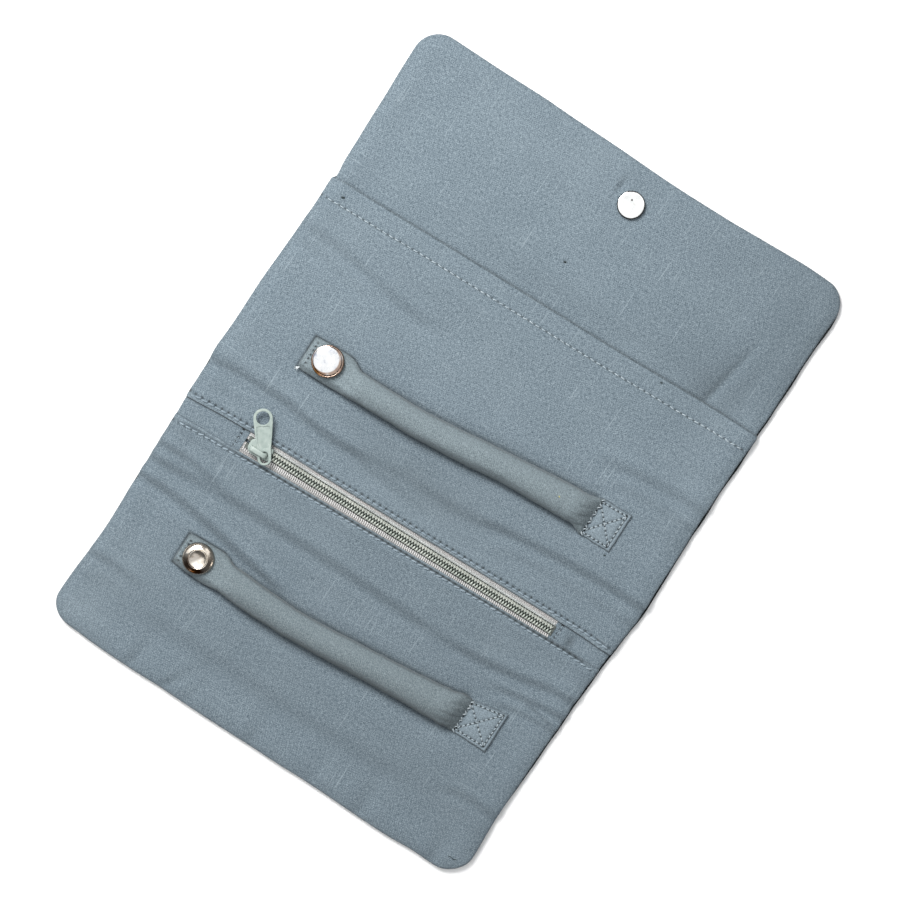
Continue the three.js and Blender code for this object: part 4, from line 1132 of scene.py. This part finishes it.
pile = Pile()
bridge = spline([(-61.6, -1.0, 5.0), (-61.65, -1.0, 5.9), (-61.4, -1.0, 6.75), (-60.6, -1.0, 7.2), (-58.4, -1.0, 7.3), (-56.4, -1.0, 7.22), (-55.55, -1.0, 6.75), (-55.3, -1.0, 5.9), (-55.3, -1.0, 5.0)], 44)
v, f = strap(bridge, 1.9, 0.85)
pile.add(zip_points(v), f)
bridge_obj = pile.make("slider_bridge", PAINT)
slider = merge(top_plate, low_plate, neck, *lips, bridge_obj, name="zip_slider")
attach(slider, "zip_slider")
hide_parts("zip_slider_body")

# pull: a flat tongue with a raised rim, a round hole at the far end and a loop round the bridge's leg
PULL_AT, PULL_TURN = np.array([-55.9, -1.0]), math.radians(123.2)


def pull_points(p):
    p = np.asarray(p, float)
    c, q = math.cos(PULL_TURN), math.sin(PULL_TURN)
    return zip_points(np.stack([PULL_AT[0] + c * p[..., 0] - q * p[..., 1], PULL_AT[1] + q * p[..., 0] + c * p[..., 1], p[..., 2]], -1))


def tongue(shrink=0.0):
    far, near = 3.5 - shrink, 2.5 - shrink
    pts = arc(13.4, 0, far, -88, 88, 30)
    pts += [tuple(p) for p in spline([(11.9, far * 0.99), (8.0, 3.15 - shrink), (3.2, 2.62 - shrink), (0.6, near + 0.02)], 14)]
    pts += arc(-0.95, 0, near, 84, 276, 26)
    pts += [tuple(p) for p in spline([(0.6, -near - 0.02), (3.2, -2.62 + shrink), (8.0, -3.15 + shrink), (11.9, -far * 0.99)], 14)]
    return pts


hole_far = arc(13.5, 0, 2.42, 0, 350, 36)
slot_near = arc(0.05, 0, 1.5, -90, 90, 14) + arc(-1.2, 0, 1.5, 90, 270, 14)
body_plate = plate("pull_plate", tongue(), 5.72, 6.38, 0.2, PAINT, [hole_far, slot_near], pull_points)
inner = [tuple(p) for p in spline([(10.2, 2.35), (6.4, 2.25), (3.4, 1.8), (2.7, 0.8), (2.6, 0), (2.7, -0.8), (3.4, -1.8), (6.4, -2.25), (10.2, -2.35), (10.5, -1.2), (10.35, 0), (10.5, 1.2)], 46)]
rim_plate = plate("pull_rim", tongue(0.02), 6.2, 6.62, 0.16, PAINT, [hole_far, slot_near, inner], pull_points)
pull = merge(body_plate, rim_plate, name="zip_pull")
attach(pull, "zip_pull")
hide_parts("zip_pull_tab")

# ---------------------------------------------------------------- ring bars
def sag(bar, x, across, flat=1.0):
    """The snapped end bends down round the snap, at its sides and at its end."""
    return flat * (1.9 * smooth(0.66, 1.0, np.abs(across)) + 2.0 * (1 - smooth(bar.flat_end, bar.flat_end + 5.0, x)))


def section(bar, x, k=1.0, rows=64, slack=0.0):
    """Points round the sleeve at s = x, in (t offset, z)."""
    flat = float(1 - smooth(41.5, bar.round_from + 4, x))
    loose = slack * (1 - flat) * float(1 - smooth(bar.round_to - 4, bar.round_to + 1, x))
    half = float(bar.half(x)) * k + 0.42 * loose
    q = min(max((x - bar.round_to + 2.5) / (bar.tail + 0.25 - bar.round_to + 2.5), 0.0), 1.0)
    tail = q**2
    high = ((5.25 * (1 - flat) + 0.62 * flat) * (1 - tail) + 0.8 * tail) * k - 0.45 * loose
    deep = ((2.75 * (1 - flat) + 0.6 * flat) * (1 - tail) + 0.8 * tail) * k
    mid = (5.9 * (1 - flat) + 7.0 * flat) * (1 - tail) + 4.3 * tail
    power = 2.05 + 3.2 * flat + 1.6 * tail
    a = np.linspace(0, 2 * math.pi, rows, endpoint=False)
    dt, dz = [], []
    for tall, sign in ((high, 1), (deep, -1)):
        b = np.linspace(0, math.pi, 400)
        u = half * np.sign(np.cos(b)) * np.abs(np.cos(b)) ** (2 / power) * sign
        v = tall * np.sin(b).clip(0) ** (2 / power) * sign
        far = np.concatenate([[0], np.cumsum(np.hypot(np.diff(u), np.diff(v)))])
        at = np.linspace(0, far[-1], rows // 2, endpoint=False)
        dt.append(np.interp(at, far, u))
        dz.append(np.interp(at, far, v))
    dt, dz = np.concatenate(dt), np.concatenate(dz)
    return a, dt, mid + dz - sag(bar, x, dt / half, flat)


def sleeve(name, bar, material, k=1.0, first=None, last=None, wrinkle=1.0, rows=64, slack=0.0):
    first, last = first or bar.flat_end, last or bar.tail
    xs = np.concatenate([first + np.array([0, 0.12, 0.35, 0.7, 1.2]), np.arange(first + 1.45, first + 2.3, 0.2), np.arange(first + 2.6, last - 5.0, 0.9), np.arange(last - 4.6, last, 0.35), [last]])
    grid, uv = [], []
    for x in xs:
        a, dt, z = section(bar, x, k, rows, slack)
        end = min((x - first) / 0.7, 1.0)
        pinch = math.sqrt(max(1 - (1 - end) ** 2, 0)) if end < 1 else 1.0
        zc = (z.max() + z.min()) / 2
        z = zc + (z - zc) * (0.25 + 0.75 * pinch)
        grid.append(np.stack([np.full(rows, x), float(bar.mid(x)) + dt, z], -1))
        step = np.hypot(np.diff(np.append(dt, dt[0])), np.diff(np.append(z, z[0])))
        uv.append(np.stack([np.cumsum(step) - step[0], np.full(rows, x)], -1))
    g, uv = np.array(grid), np.array(uv)
    if wrinkle:
        s, t, z = g[..., 0], g[..., 1], g[..., 2]
        around = np.linspace(0, 2 * math.pi, rows, endpoint=False)[None]
        near_left = bell(s - 47, 7)
        near_right = bell(s - bar.round_to, 6)
        lift = 0.16 * noise(s / 17, np.cos(around) * 1.3 + 3 + 0 * s, bar.seed) + 0.10 * noise(s / 5.5, np.cos(around - 0.5) * 2 + 0 * s, bar.seed + 1)
        lift = lift + near_left * 0.38 * noise(s / 9.0 + 2, np.sin(around) * 2.4 + np.cos(around) * 2.4 + 0 * s, bar.seed + 2)
        lift = lift + near_right * 0.34 * noise(s / 2.6, np.cos(around) * 0.8 + 0 * s, bar.seed + 3)
        lift = lift + smooth(bar.round_to - 3, bar.tail - 2, s) * 0.75 * noise(np.cos(around) * 4.6 + s / 5.0, s / 6.0, bar.seed + 5)
        lift = lift + 0.045 * noise(s / 2.4, around * 3.0 + 0 * s, bar.seed + 4)
        lift = lift * wrinkle * smooth(first, first + 6, s)
        cy, cz = t.mean(1, keepdims=True), z.mean(1, keepdims=True)
        r = np.maximum(np.hypot(t - cy, z - cz), 1e-6)
        flat_end = 1 - smooth(40, 48, s)
        g[..., 1] = t + lift * (t - cy) / r * (1 - flat_end)
        g[..., 2] = z + lift * ((z - cz) / r * (1 - flat_end) + np.sign(z - cz) * 0.5 * flat_end)
    n = len(xs)
    verts = place(g[..., 0], g[..., 1], g[..., 2]).reshape(-1, 3)
    faces = []
    for i in range(n - 1):
        for j in range(rows):
            q = (j + 1) % rows
            faces.append((i * rows + j, (i + 1) * rows + j, (i + 1) * rows + q, i * rows + q))
    verts = np.concatenate([verts, verts[:rows].mean(0, keepdims=True), verts[-rows:].mean(0, keepdims=True)])
    for j in range(rows):
        q = (j + 1) % rows
        faces.append((n * rows, j, q))
        faces.append((n * rows + 1, (n - 1) * rows + q, (n - 1) * rows + j))
    uv = np.concatenate([uv.reshape(-1, 2), uv[0].mean(0, keepdims=True), uv[-1].mean(0, keepdims=True)])
    s = np.concatenate([g[..., 0].ravel(), [first, last]])
    zz = verts[:, 2]
    out = np.concatenate([(np.abs(g[..., 1] - bar.mid(g[..., 0])) / bar.half(g[..., 0])).ravel(), [0, 0]])
    # Painted shade on the sleeve: towards the sewn end where it tucks under, along its sides, low down near the cloth,
    # at the snapped end's edge and in its needle holes; the lower bar is also darker overall and shaded on its lower
    # side.
    tone = 0.1 * smooth(bar.round_to - 0.5, bar.round_to + 3.5, s) + 0.28 * smooth(0.86, 1.0, out)
    if bar is LOWER:
        below = np.concatenate([((g[..., 1] - bar.mid(g[..., 0])) / bar.half(g[..., 0])).ravel(), [0, 0]])
        tone = tone + 0.10 + 0.13 * smooth(-0.1, 0.75, below) * smooth(48, 60, s)
    if wrinkle:
        tt = np.concatenate([g[..., 1].ravel(), [0, 0]])
        dash = smooth(-0.2, 0.5, np.cos(2 * math.pi * tt / 1.7)) * (1 - smooth(0.72, 0.8, out))
        tone = tone + 0.35 * (1 - smooth(first, first + 0.7, s)) + 1.0 * bell(s - first - 1.85, 0.5) * dash
    tone = tone + 0.2 * (1 - smooth(3.6, 6.2, zz)) * smooth(48, 54, s) * (1 - smooth(bar.round_to - 5, bar.round_to, s))
    obj = to_object(name, verts, faces, material, uv, np.clip(tone, 0, 1), np.zeros(len(verts)))
    bm = bmesh.new()
    bm.from_mesh(obj.data)
    bmesh.ops.recalc_face_normals(bm, faces=bm.faces)
    bm.to_mesh(obj.data)
    bm.free()
    return obj


def inflate(obj, bar, pressure=4.0, cap=0.7, frames=16, scale=25.0):
    """Fill the sleeve: cloth under pressure from inside, held at the snapped end and at the sewn end."""
    co = np.empty(len(obj.data.vertices) * 3)
    obj.data.vertices.foreach_get("co", co)
    co = co.reshape(-1, 3)
    along_s = co[:, 0] / MM + WIDTH / 2
    hold = np.clip(1 - smooth(43, 49, along_s) + smooth(bar.tail - 1.6, bar.tail - 0.4, along_s), 0, 1)
    centre = co.mean(0)
    mesh = obj.data.copy()
    mesh.vertices.foreach_set("co", ((co - centre) * scale).ravel())
    mesh.update()
    body = bpy.data.objects.new(obj.name + "_filling", mesh)
    scene.collection.objects.link(body)
    group = body.vertex_groups.new(name="hold")
    for i in np.nonzero(hold > 0)[0]:
        group.add([int(i)], float(hold[i]), "REPLACE")
    mod = body.modifiers.new("Cloth", "CLOTH")
    st = mod.settings
    st.quality, st.mass = 6, 0.3
    st.tension_stiffness, st.compression_stiffness, st.shear_stiffness, st.bending_stiffness = 12, 12, 5, 0.3
    st.use_pressure, st.uniform_pressure_force = True, pressure
    st.vertex_group_mass = "hold"
    st.effector_weights.gravity = 0
    mod.collision_settings.use_collision = False
    mod.point_cache.frame_start, mod.point_cache.frame_end = 1, frames
    for f in range(1, frames + 1):
        scene.frame_set(f)
    got = body.evaluated_get(bpy.context.evaluated_depsgraph_get())
    out = np.empty(co.size)
    got.data.vertices.foreach_get("co", out)
    scene.frame_set(1)
    move = out.reshape(-1, 3) / scale + centre - co
    far = np.linalg.norm(move, axis=1, keepdims=True) / MM
    move = move * (1 - hold[:, None]) * cap * np.tanh(far / cap) / np.maximum(far, 1e-9)
    obj.data.vertices.foreach_set("co", (co + move).ravel())
    obj.data.update()
    bpy.data.objects.remove(body)
    bpy.data.meshes.remove(mesh)


def quad_grid(corners, n, m):
    c = np.array(corners, float)
    u, v = np.meshgrid(np.linspace(0, 1, n), np.linspace(0, 1, m))
    w = lambda a: a[..., None]
    return (w(1 - u) * w(1 - v) * c[0] + w(u) * w(1 - v) * c[1] + w(u) * w(v) * c[2] + w(1 - u) * w(v) * c[3]), u, v


def seg_distance(p, a, b):
    a, b = np.array(a, float), np.array(b, float)
    k = np.clip(((p - a) @ (b - a)) / ((b - a) @ (b - a)), 0, 1)
    return np.linalg.norm(p - (a + k[..., None] * (b - a)), axis=-1)


def patch(name, corners, lines, low, high, material, seed, puff=0.35, pale=0.0):
    """A small cloth patch, folded under at its edges and pressed in along its sewn lines."""
    p, u, v = quad_grid(corners, 64, 64)
    size = np.linalg.norm(np.array(corners[1], float) - np.array(corners[0], float))
    edge = np.minimum(np.minimum(u, 1 - u), np.minimum(v, 1 - v)) * size
    z = low + (high - low) * np.sqrt(np.clip(1 - (1 - np.clip(edge / 0.8, 0, 1)) ** 2, 0, 1)) * 0.75 + 0.25 * (high - low)
    z = z + puff * smooth(0, 4, edge) + 0.06 * noise(p[..., 0] / 2.6, p[..., 1] / 2.6, seed)
    # Painted shade along the folded edges and, below, along the sewn lines and in their needle holes.
    tone = 0.55 * (1 - smooth(0, 0.5, edge))
    for a, b in lines:
        gap = seg_distance(p, a, b)
        run = np.array(b, float) - np.array(a, float)
        far = np.linalg.norm(run)
        n = max(round(far / 1.75), 1)
        at = ((p - np.array(a, float)) @ run) / far**2 * n
        z = z - (0.22 + 0.2 * (0.5 + 0.5 * np.cos(2 * math.pi * at)) ** 3) * bell(gap, 0.7)
        tone = tone + 0.08 * bell(gap, 0.5) + 0.97 * bell(gap, 0.32) * smooth(-0.25, 0.35, np.cos(2 * math.pi * at))
    sk, tk = p[..., 0], p[..., 1]
    sk = sk + 0.12 * noise(tk / 3.0, 0.3, seed + 1) * (1 - smooth(0, 2, edge))
    tk = tk + 0.12 * noise(sk / 3.0, 0.7, seed + 2) * (1 - smooth(0, 2, edge))
    return shell(name, place(sk, tk, z), place(sk, tk, np.full_like(z, low)), np.stack([tk, sk], -1), material, np.clip(tone, 0, 1), np.full_like(z, pale))


def cap_profile(dished):
    if dished:
        return [(0, 9.1), (1.1, 9.16), (2.0, 9.3), (2.7, 9.48), (3.1, 9.6), (3.28, 9.58), (3.4, 9.72), (3.54, 9.82), (3.72, 9.8), (4.2, 9.62), (4.8, 9.36), (5.2, 9.1), (5.5, 8.84), (5.75, 8.45), (5.87, 8.1), (5.9, 7.92), (5.84, 7.75), (5.6, 7.7), (5.2, 7.78), (4.8, 7.9), (0, 7.9)]
    return [(0, 9.96), (1.4, 9.95), (2.6, 9.91), (3.6, 9.84), (4.4, 9.74), (4.9, 9.64), (5.15, 9.53), (5.3, 9.42), (5.42, 9.44), (5.58, 9.42), (5.74, 9.3), (5.86, 9.05), (5.9, 8.7), (5.9, 7.92), (5.84, 7.75), (5.6, 7.7), (5.2, 7.78), (4.8, 7.9), (0, 7.9)]


def cap_reflection_paint(dished):
    # Painted reflections on the snap caps, as tone that mixes in the tint: on the plain cap a white reflection set
    # off-centre with a tinted rim round it, darkest on one side and lighter where glints fall; on the dished cap darker
    # reflections on parts of its slope, along the dish's edge on one side and on one side of the dish floor.
    def of(r, turn):
        near = lambda at, w: bell((turn - at + math.pi) % (2 * math.pi) - math.pi, w)
        if not dished:
            off = np.sqrt(np.maximum(r * r + 0.81 - 1.8 * r * np.cos(turn - 2.72), 0))
            ring = 0.74 + 0.26 * near(-1.85, 0.55) - 0.3 * near(0.85, 0.2) - 0.35 * bell(r - 4.6, 0.4) * near(-1.0, 0.12)
            return np.maximum(smooth(4.5, 4.95, off) * ring, smooth(5.6, 5.75, r))
        slope = smooth(3.6, 3.85, r) * (1 - smooth(5.35, 5.55, r))
        wear_and_reflection = slope * (1.1 * near(-1.1, 0.8) + 0.75 * near(-2.25, 0.55) + 0.45 * near(0.15, 0.6)) + 0.5 * smooth(5.4, 5.6, r)
        wear_and_reflection = wear_and_reflection + 1.0 * bell(r - 3.46, 0.3) * near(-2.4, 1.25)
        return wear_and_reflection + 0.5 * (1 - smooth(3.0, 3.2, r)) * smooth(-0.9, 0.3, r * np.cos(turn - 2.6))
    return of


def fine_profile(points, per=4):
    p = spline(points, len(points) * per)
    p[0, 0] = p[-1, 0] = 0.0
    p[:, 0] = np.maximum(p[:, 0], 0)
    return p


BARS = {}
for key, bar, parent, snap, anchor, sew in (
    ("upper", UPPER, "middle", (35.0, 119.45), [(144.0, 106.6), (156.5, 106.2), (156.9, 121.7), (144.2, 121.9)],
     [((144.6, 107.9), (155.0, 107.4)), ((155.0, 107.4), (155.2, 120.5)), ((155.2, 120.5), (144.7, 120.8)), ((144.7, 120.8), (144.6, 107.9)), ((144.8, 108.6), (155.0, 119.6)), ((155.0, 107.8), (145.2, 119.8))]),
    ("lower", LOWER, "lower", (35.1, 204.8), [(145.7, 193.5), (159.9, 190.7), (160.2, 206.8), (145.6, 206.9)],
     [((146.4, 194.4), (158.6, 192.0)), ((158.6, 192.0), (158.6, 205.4)), ((158.6, 205.4), (146.3, 205.6)), ((146.3, 205.6), (146.4, 194.4)), ((146.6, 194.9), (158.6, 205.2)), ((158.2, 192.2), (146.8, 205.0))]),
):
    body = f"{key}_bar"
    tube_obj = sleeve(f"{key}_bar_sleeve_cloth", bar, BARCLOTH, rows=72, slack=1.0)
    inflate(tube_obj, bar)
    core = sleeve(f"{key}_bar_stuffing_roll", bar, WADDING, 0.78, 46.0, bar.round_to - 1.0, 0, 32)
    x_at = float(place(bar.tail - 1.0, float(bar.mid(bar.tail - 1.0)), 5.0)[0]) * MM
    x_to = float(place(bar.round_to - 1.0, float(bar.mid(bar.round_to)), 5.0)[0]) * MM
    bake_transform(tube_obj)
    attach(core, body)
    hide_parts(f"{key}_bar_sleeve")
    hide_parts(f"{key}_bar_stuffing")
    piece = patch(f"{key}_bar_anchor_cloth", anchor, sew, 3.75, 4.5, LINING, bar.seed + 7, pale=0.16)
    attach(piece, parent)
    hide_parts(f"{key}_bar_anchor_patch")
    e = bar.flat_end
    tab_c = [(e + 0.4, float(bar.top(e)) + 0.6), (42.0, float(bar.top(41)) + 0.5), (42.0, float(bar.low(41)) - 0.5), (e + 0.4, float(bar.low(e)) - 0.4)]
    base = patch(f"{key}_bar_base_cloth", tab_c, [((e + 1.8, tab_c[0][1] + 1), (e + 1.8, tab_c[3][1] - 1))], 3.7, 4.25, BARCLOTH, bar.seed + 11, 0.1)
    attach(base, parent)
    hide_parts(f"{key}_bar_base_tab")
    c = place(snap[0], snap[1], 8.6)
    cap = lathe(f"{key}_bar_cap_plate", fine_profile(cap_profile(key == "lower")), c[:2], CAP_DISHED if key == "lower" else CAP, tone_of=cap_reflection_paint(key == "lower"))
    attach(cap, body)
    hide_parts(f"{key}_bar_snap_cap")
    BARS[key] = dict(bar=bar, sleeve=tube_obj, patch=piece, base=base, cap=cap, sew=sew, anchor=anchor, parent=parent, body=body)

# ---------------------------------------------------------------- closure disc
c = place(94.3, 14.2, 4.0)
disc = lathe("closure_disc_plate", [(0, 4.16), (1.0, 4.16), (3.6, 4.15), (4.3, 4.14), (4.6, 4.12), (4.7, 4.07), (4.74, 4.04), (4.86, 3.98), (4.96, 3.85), (4.99, 3.65), (4.9, 3.4), (4.82, 3.2), (4.7, 2.9), (4.2, 2.85), (0, 2.85)], c[:2], MIRROR, tone_of=lambda r, turn: smooth(4.69, 4.74, r))
pit = lathe("disc_pit", [(0, 4.19), (0.2, 4.19), (0.34, 4.17), (0.4, 4.12), (0.4, 4.0), (0, 4.0)], place(93.6, 12.6, 4.2)[:2], PIT, 16)
disc = merge(disc, pit)
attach(disc, "flap")
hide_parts("closure_magnet_disc")

# ---------------------------------------------------------------- stitches
def stitch_row(points, height, pitch=PITCH, share=0.72, radius=0.2, rise=0.16, start=None, lean=0.0, seed=90, put=place):
    """Threads along a sewn line: each one comes up out of its hole, lies on the cloth and goes down again."""
    p = np.array(points, float)
    length = np.concatenate([[0], np.cumsum(np.linalg.norm(np.diff(p, axis=0), axis=1))])
    n = max(int(round(length[-1] / pitch)), 1)
    rng = np.random.default_rng(seed)
    pile = Pile()
    for i in range(n):
        a = (i + 0.5 - share / 2) * length[-1] / n
        b = (i + 0.5 + share / 2) * length[-1] / n
        d = np.linspace(a, b, 7)
        x, y = np.interp(d, length, p[:, 0]), np.interp(d, length, p[:, 1])
        direction = np.array([x[-1] - x[0], y[-1] - y[0]])
        direction /= max(np.linalg.norm(direction), 1e-9)
        side = np.array([-direction[1], direction[0]])
        tilt = lean + 0.10 * rng.standard_normal()
        f = np.linspace(-1, 1, 7)
        x, y = x + side[0] * tilt * f, y + side[1] * tilt * f
        z = height(x, y) + rise * (1 - np.abs(f) ** 2.6) - 0.20 * np.abs(f) ** 4
        v, faces = tube(put(x, y, z), radius * (0.9 + 0.2 * rng.random()), 7)
        pile.add(v, faces)
    return pile


def line_points(f, s0, s1, n=200):
    x = np.linspace(s0, s1, n)
    return np.stack([x, f(x)], 1)


def put_cloth(x, y, z):
    return lay(np.asarray(x, float), np.asarray(y, float), z)


def thread(pile, name, body, material=THREAD):
    obj = pile.make(name, material)
    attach(obj, body)
    return obj


first = PITCH * math.ceil(2.5 / PITCH)
last = PITCH * math.floor(176.0 / PITCH)
hem_thread = thread(stitch_row(line_points(HEM_SEW, first, last), z_pocket, put=put_cloth, seed=91, rise=0.1, radius=0.22, share=0.62), "hem_stitches", "flap", PATCH_THREAD)
zip_up_thread = thread(stitch_row(line_points(ZIP_UP_SEW, first, last), z_pocket, put=put_cloth, seed=92, radius=0.38, rise=0.18, share=0.84), "zip_stitches_upper", "middle", ZIP_THREAD)
zip_lo_thread = thread(stitch_row(line_points(ZIP_LO_SEW, first, last), z_lower, put=put_cloth, seed=93, radius=0.32, rise=0.2, share=0.74, lean=-0.16), "zip_stitches_lower", "middle")
for name, x, t0, t1 in (("zip_tab_stitches_left", 23.3, 156.6, 163.6), ("zip_tab_stitches_right", 158.0, 152.8, 158.4)):
    thread(stitch_row([(x, t0), (x + 0.2, t1)], z_end_tab, pitch=1.5, share=0.6, radius=0.17, rise=0.1, put=put_cloth, seed=94), name, "middle")

for key, b in BARS.items():
    pile = Pile()
    flat = lambda x, y: np.full(np.shape(x), 4.5 + 0.35 - 0.30)
    for i, (p0, p1) in enumerate(b["sew"]):
        got = stitch_row([p0, p1], flat, pitch=1.75, share=0.6, radius=0.2, rise=0.16, seed=100 + i)
        pile.add(np.concatenate(got.v), got.f)
    # a zigzag row holds the patch's edge down over the end of the bar
    p0, p1 = np.array(b["anchor"][0], float), np.array(b["anchor"][3], float)
    zigzag, count = Pile(), 10
    for i in range(count):
        c0 = p0 + (p1 - p0) * (i + 0.5) / count
        lean = 0.6 if i % 2 else -0.6
        f7 = np.linspace(-1, 1, 7)
        x, y = c0[0] + 0.55 + 0.75 * f7, c0[1] + lean * f7
        z = 4.72 + 0.5 * np.sqrt(np.clip(1 - f7**2, 0, 1)) - 0.25 * (np.abs(f7) > 0.9)
        v, f = tube(place(x, y, z), 0.24, 8)
        zigzag.add(v, f)
    b["box"] = pile.make(f"{key}_bar_box_stitches", PATCH_THREAD)
    b["box"] = merge(b["box"], zigzag.make(f"{key}_bar_zigzag", ZIGZAG))
    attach(b["box"], b["parent"])
    bar = b["bar"]
    x = bar.flat_end + (1.4 if bar is UPPER else 0.7)
    end = stitch_row([(x, float(bar.top(x)) + 2.0), (x, float(bar.low(x)) - 2.0)], lambda x, y: 7.56 - sag(bar, x, (y - bar.mid(x)) / bar.half(x)), pitch=1.7, share=0.42, radius=0.14, rise=0.06, seed=110)
    b["end"] = thread(end, f"{key}_bar_end_stitches", b["body"])

def knot(pile, height, x, y, r):
    p = spline([(x - r, y - 0.3 * r, 0), (x - 0.3 * r, y + 0.4 * r, 0), (x + 0.4 * r, y - 0.4 * r, 0), (x + r, y + 0.2 * r, 0)], 10)
    z = height(p[:, 0], p[:, 1]) + 0.04
    v, f = tube(put_cloth(p[:, 0], p[:, 1], z), 0.55 * r * np.sqrt(np.clip(1 - np.linspace(-0.96, 0.96, 10) ** 2, 0, 1)) + 0.03, 7)
    pile.add(v, f)


knots = Pile()
knot(knots, z_pocket, 7.3, 67.6, 0.55)
knot(knots, z_pocket, 138.5, 60.8, 0.38)
knot(knots, z_flap, 86.0, 43.7, 0.5)
stray_flap = knots.make("stray_knots_flap", KNOT)
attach(stray_flap, "flap")
knots = Pile()
knot(knots, z_pocket, 156.2, 123.4, 0.4)
knot(knots, z_lower, 174.2, 160.4, 0.5)
stray_mid = knots.make("stray_knots_middle", KNOT)
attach(stray_mid, "middle")
knots = Pile()
p = spline([(170.4, 246.2, 0), (171.3, 245.9, 0), (172.4, 246.2, 0), (173.6, 245.7, 0)], 12)
v, f = tube(put_cloth(p[:, 0], p[:, 1], z_lower(p[:, 0], p[:, 1]) + 0.08), 0.13, 7)
knots.add(v, f)
stray_low = knots.make("stray_thread_lower", KNOT)
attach(stray_low, "lower")
fray = Pile()
for dx, dy, bend_y in ((-0.9, 1.0, 0.3), (-0.5, 1.3, -0.2), (-1.2, 0.6, 0.2), (0.1, 1.1, 0.3), (-0.8, 0.5, -0.3)):
    p = spline([(27.6, 126.6, 5.3), (27.3 + 0.4 * dx, 126.9 + 0.5 * dy + 0.2 * bend_y, 5.15), (27.3 + dx, 126.9 + dy + bend_y, 4.7)], 9)
    v, f = tube(place(p[:, 0], p[:, 1], p[:, 2]), 0.13 * np.linspace(1, 0.5, 9), 6)
    fray.add(v, f)
fleck = Pile()
x = np.linspace(130.6, 131.3, 6)
v, f = tube(place(x, 114.7 + 0.5 * (x - 131), np.full(6, 11.28)), 0.2 * np.sqrt(np.clip(1 - np.linspace(-0.95, 0.95, 6) ** 2, 0, 1)), 7)
fleck.add(v, f)
fleck_obj = fleck.make("upper_bar_fleck", FLECK)
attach(fleck_obj, "upper_bar")
fray_obj = fray.make("upper_bar_frayed_corner", FRAY)
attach(fray_obj, "upper_bar")

# ---------------------------------------------------------------- what keeps its CAD shape
CARRIED = {"snap_socket": STEEL, "snap_stud": STEEL, "snap_post": STEEL, "washer": STEEL, "keeper": STEEL, "stop": DULL}
for name, node in NODES.items():
    for key, material in CARRIED.items():
        if key in name:
            node.data.materials.clear()
            node.data.materials.append(material)

# ---------------------------------------------------------------- sheet sizes for the bars, worked out and not used
CLOTH_M = lambda a, b: (a * MM, b * MM)
for key, b in BARS.items():
    w = 12.6 if key == "upper" else 14.3
    CLOTH_M(w, 15.5)

# ---------------------------------------------------------------- floor, light, camera
floor_mesh = bpy.data.meshes.new("floor")
R = 4.0
floor_mesh.from_pydata([(-R, -R, -0.0003), (R, -R, -0.0003), (R, R, -0.0003), (-R, R, -0.0003)], [], [(0, 1, 2, 3)])
floor = bpy.data.objects.new("floor", floor_mesh)
scene.collection.objects.link(floor)
paper = Nodes("pale_floor")
co = paper.coords("object")
paper.put("Base Color", paper.ramp(paper.noise(co, 300, 2, 0.5), [(0.3, linear(247, 247, 248)), (0.7, linear(252, 252, 252))]))
paper.put("Roughness", 0.9)
paper.put("Specular IOR Level", 0.1)
floor_mesh.materials.append(paper.mat)

world = bpy.data.worlds.new("studio")
scene.world = world
world.use_nodes = True
world.node_tree.nodes["Background"].inputs[0].default_value = (0.93, 0.97, 1.0, 1)
world.node_tree.nodes["Background"].inputs[1].default_value = 0.2


def area_light(name, at, size, power, colour=(1, 1, 1), aim=(0, 0, 0)):
    data = bpy.data.lights.new(name, "AREA")
    data.shape = "RECTANGLE"
    data.size, data.size_y = size
    data.energy = power
    data.color = colour
    obj = bpy.data.objects.new(name, data)
    scene.collection.objects.link(obj)
    obj.location = at
    obj.rotation_mode = "QUATERNION"
    obj.rotation_quaternion = (Vector(aim) - Vector(at)).to_track_quat("-Z", "Y")
    return obj


area_light("key", (-0.44, 0.27, 0.6), (0.36, 0.36), 8.7, (1.0, 0.985, 0.965))
area_light("card_back", (0.12, 0.48, 0.56), (0.34, 0.34), 0.4)
area_light("card_left", (-0.55, -0.06, 0.5), (0.3, 0.3), 0.3)
area_light("card_right", (0.36, -0.05, 0.13), (0.1, 0.1), 0.16, (1.0, 0.97, 0.93))
area_light("card_low", (-0.05, -0.42, 0.14), (0.1, 0.1), 0.16, (1.0, 0.97, 0.93))
area_light("top", (-0.1, 0.0, 1.5), (1.7, 1.7), 9.6, (0.97, 0.985, 1.0))

cam_data = bpy.data.cameras.new("camera")
cam_data.sensor_width = 36.0
cam_data.lens = 88.0
cam_data.dof.use_dof = False
cam_data.clip_start, cam_data.clip_end = 0.01, 50
camera = bpy.data.objects.new("camera", cam_data)
scene.collection.objects.link(camera)
right, down, ahead = (0.8349467, 0.5492820, -0.0339602), (0.5501803, -0.8316840, 0.0748561), (0.0128729, -0.0811851, -0.9966159)
m = Matrix.Identity(4)
for i in range(3):
    m[i][0], m[i][1], m[i][2] = right[i], -down[i], -ahead[i]
    m[i][3] = CAMERA[i] * MM
camera.matrix_world = m
scene.camera = camera
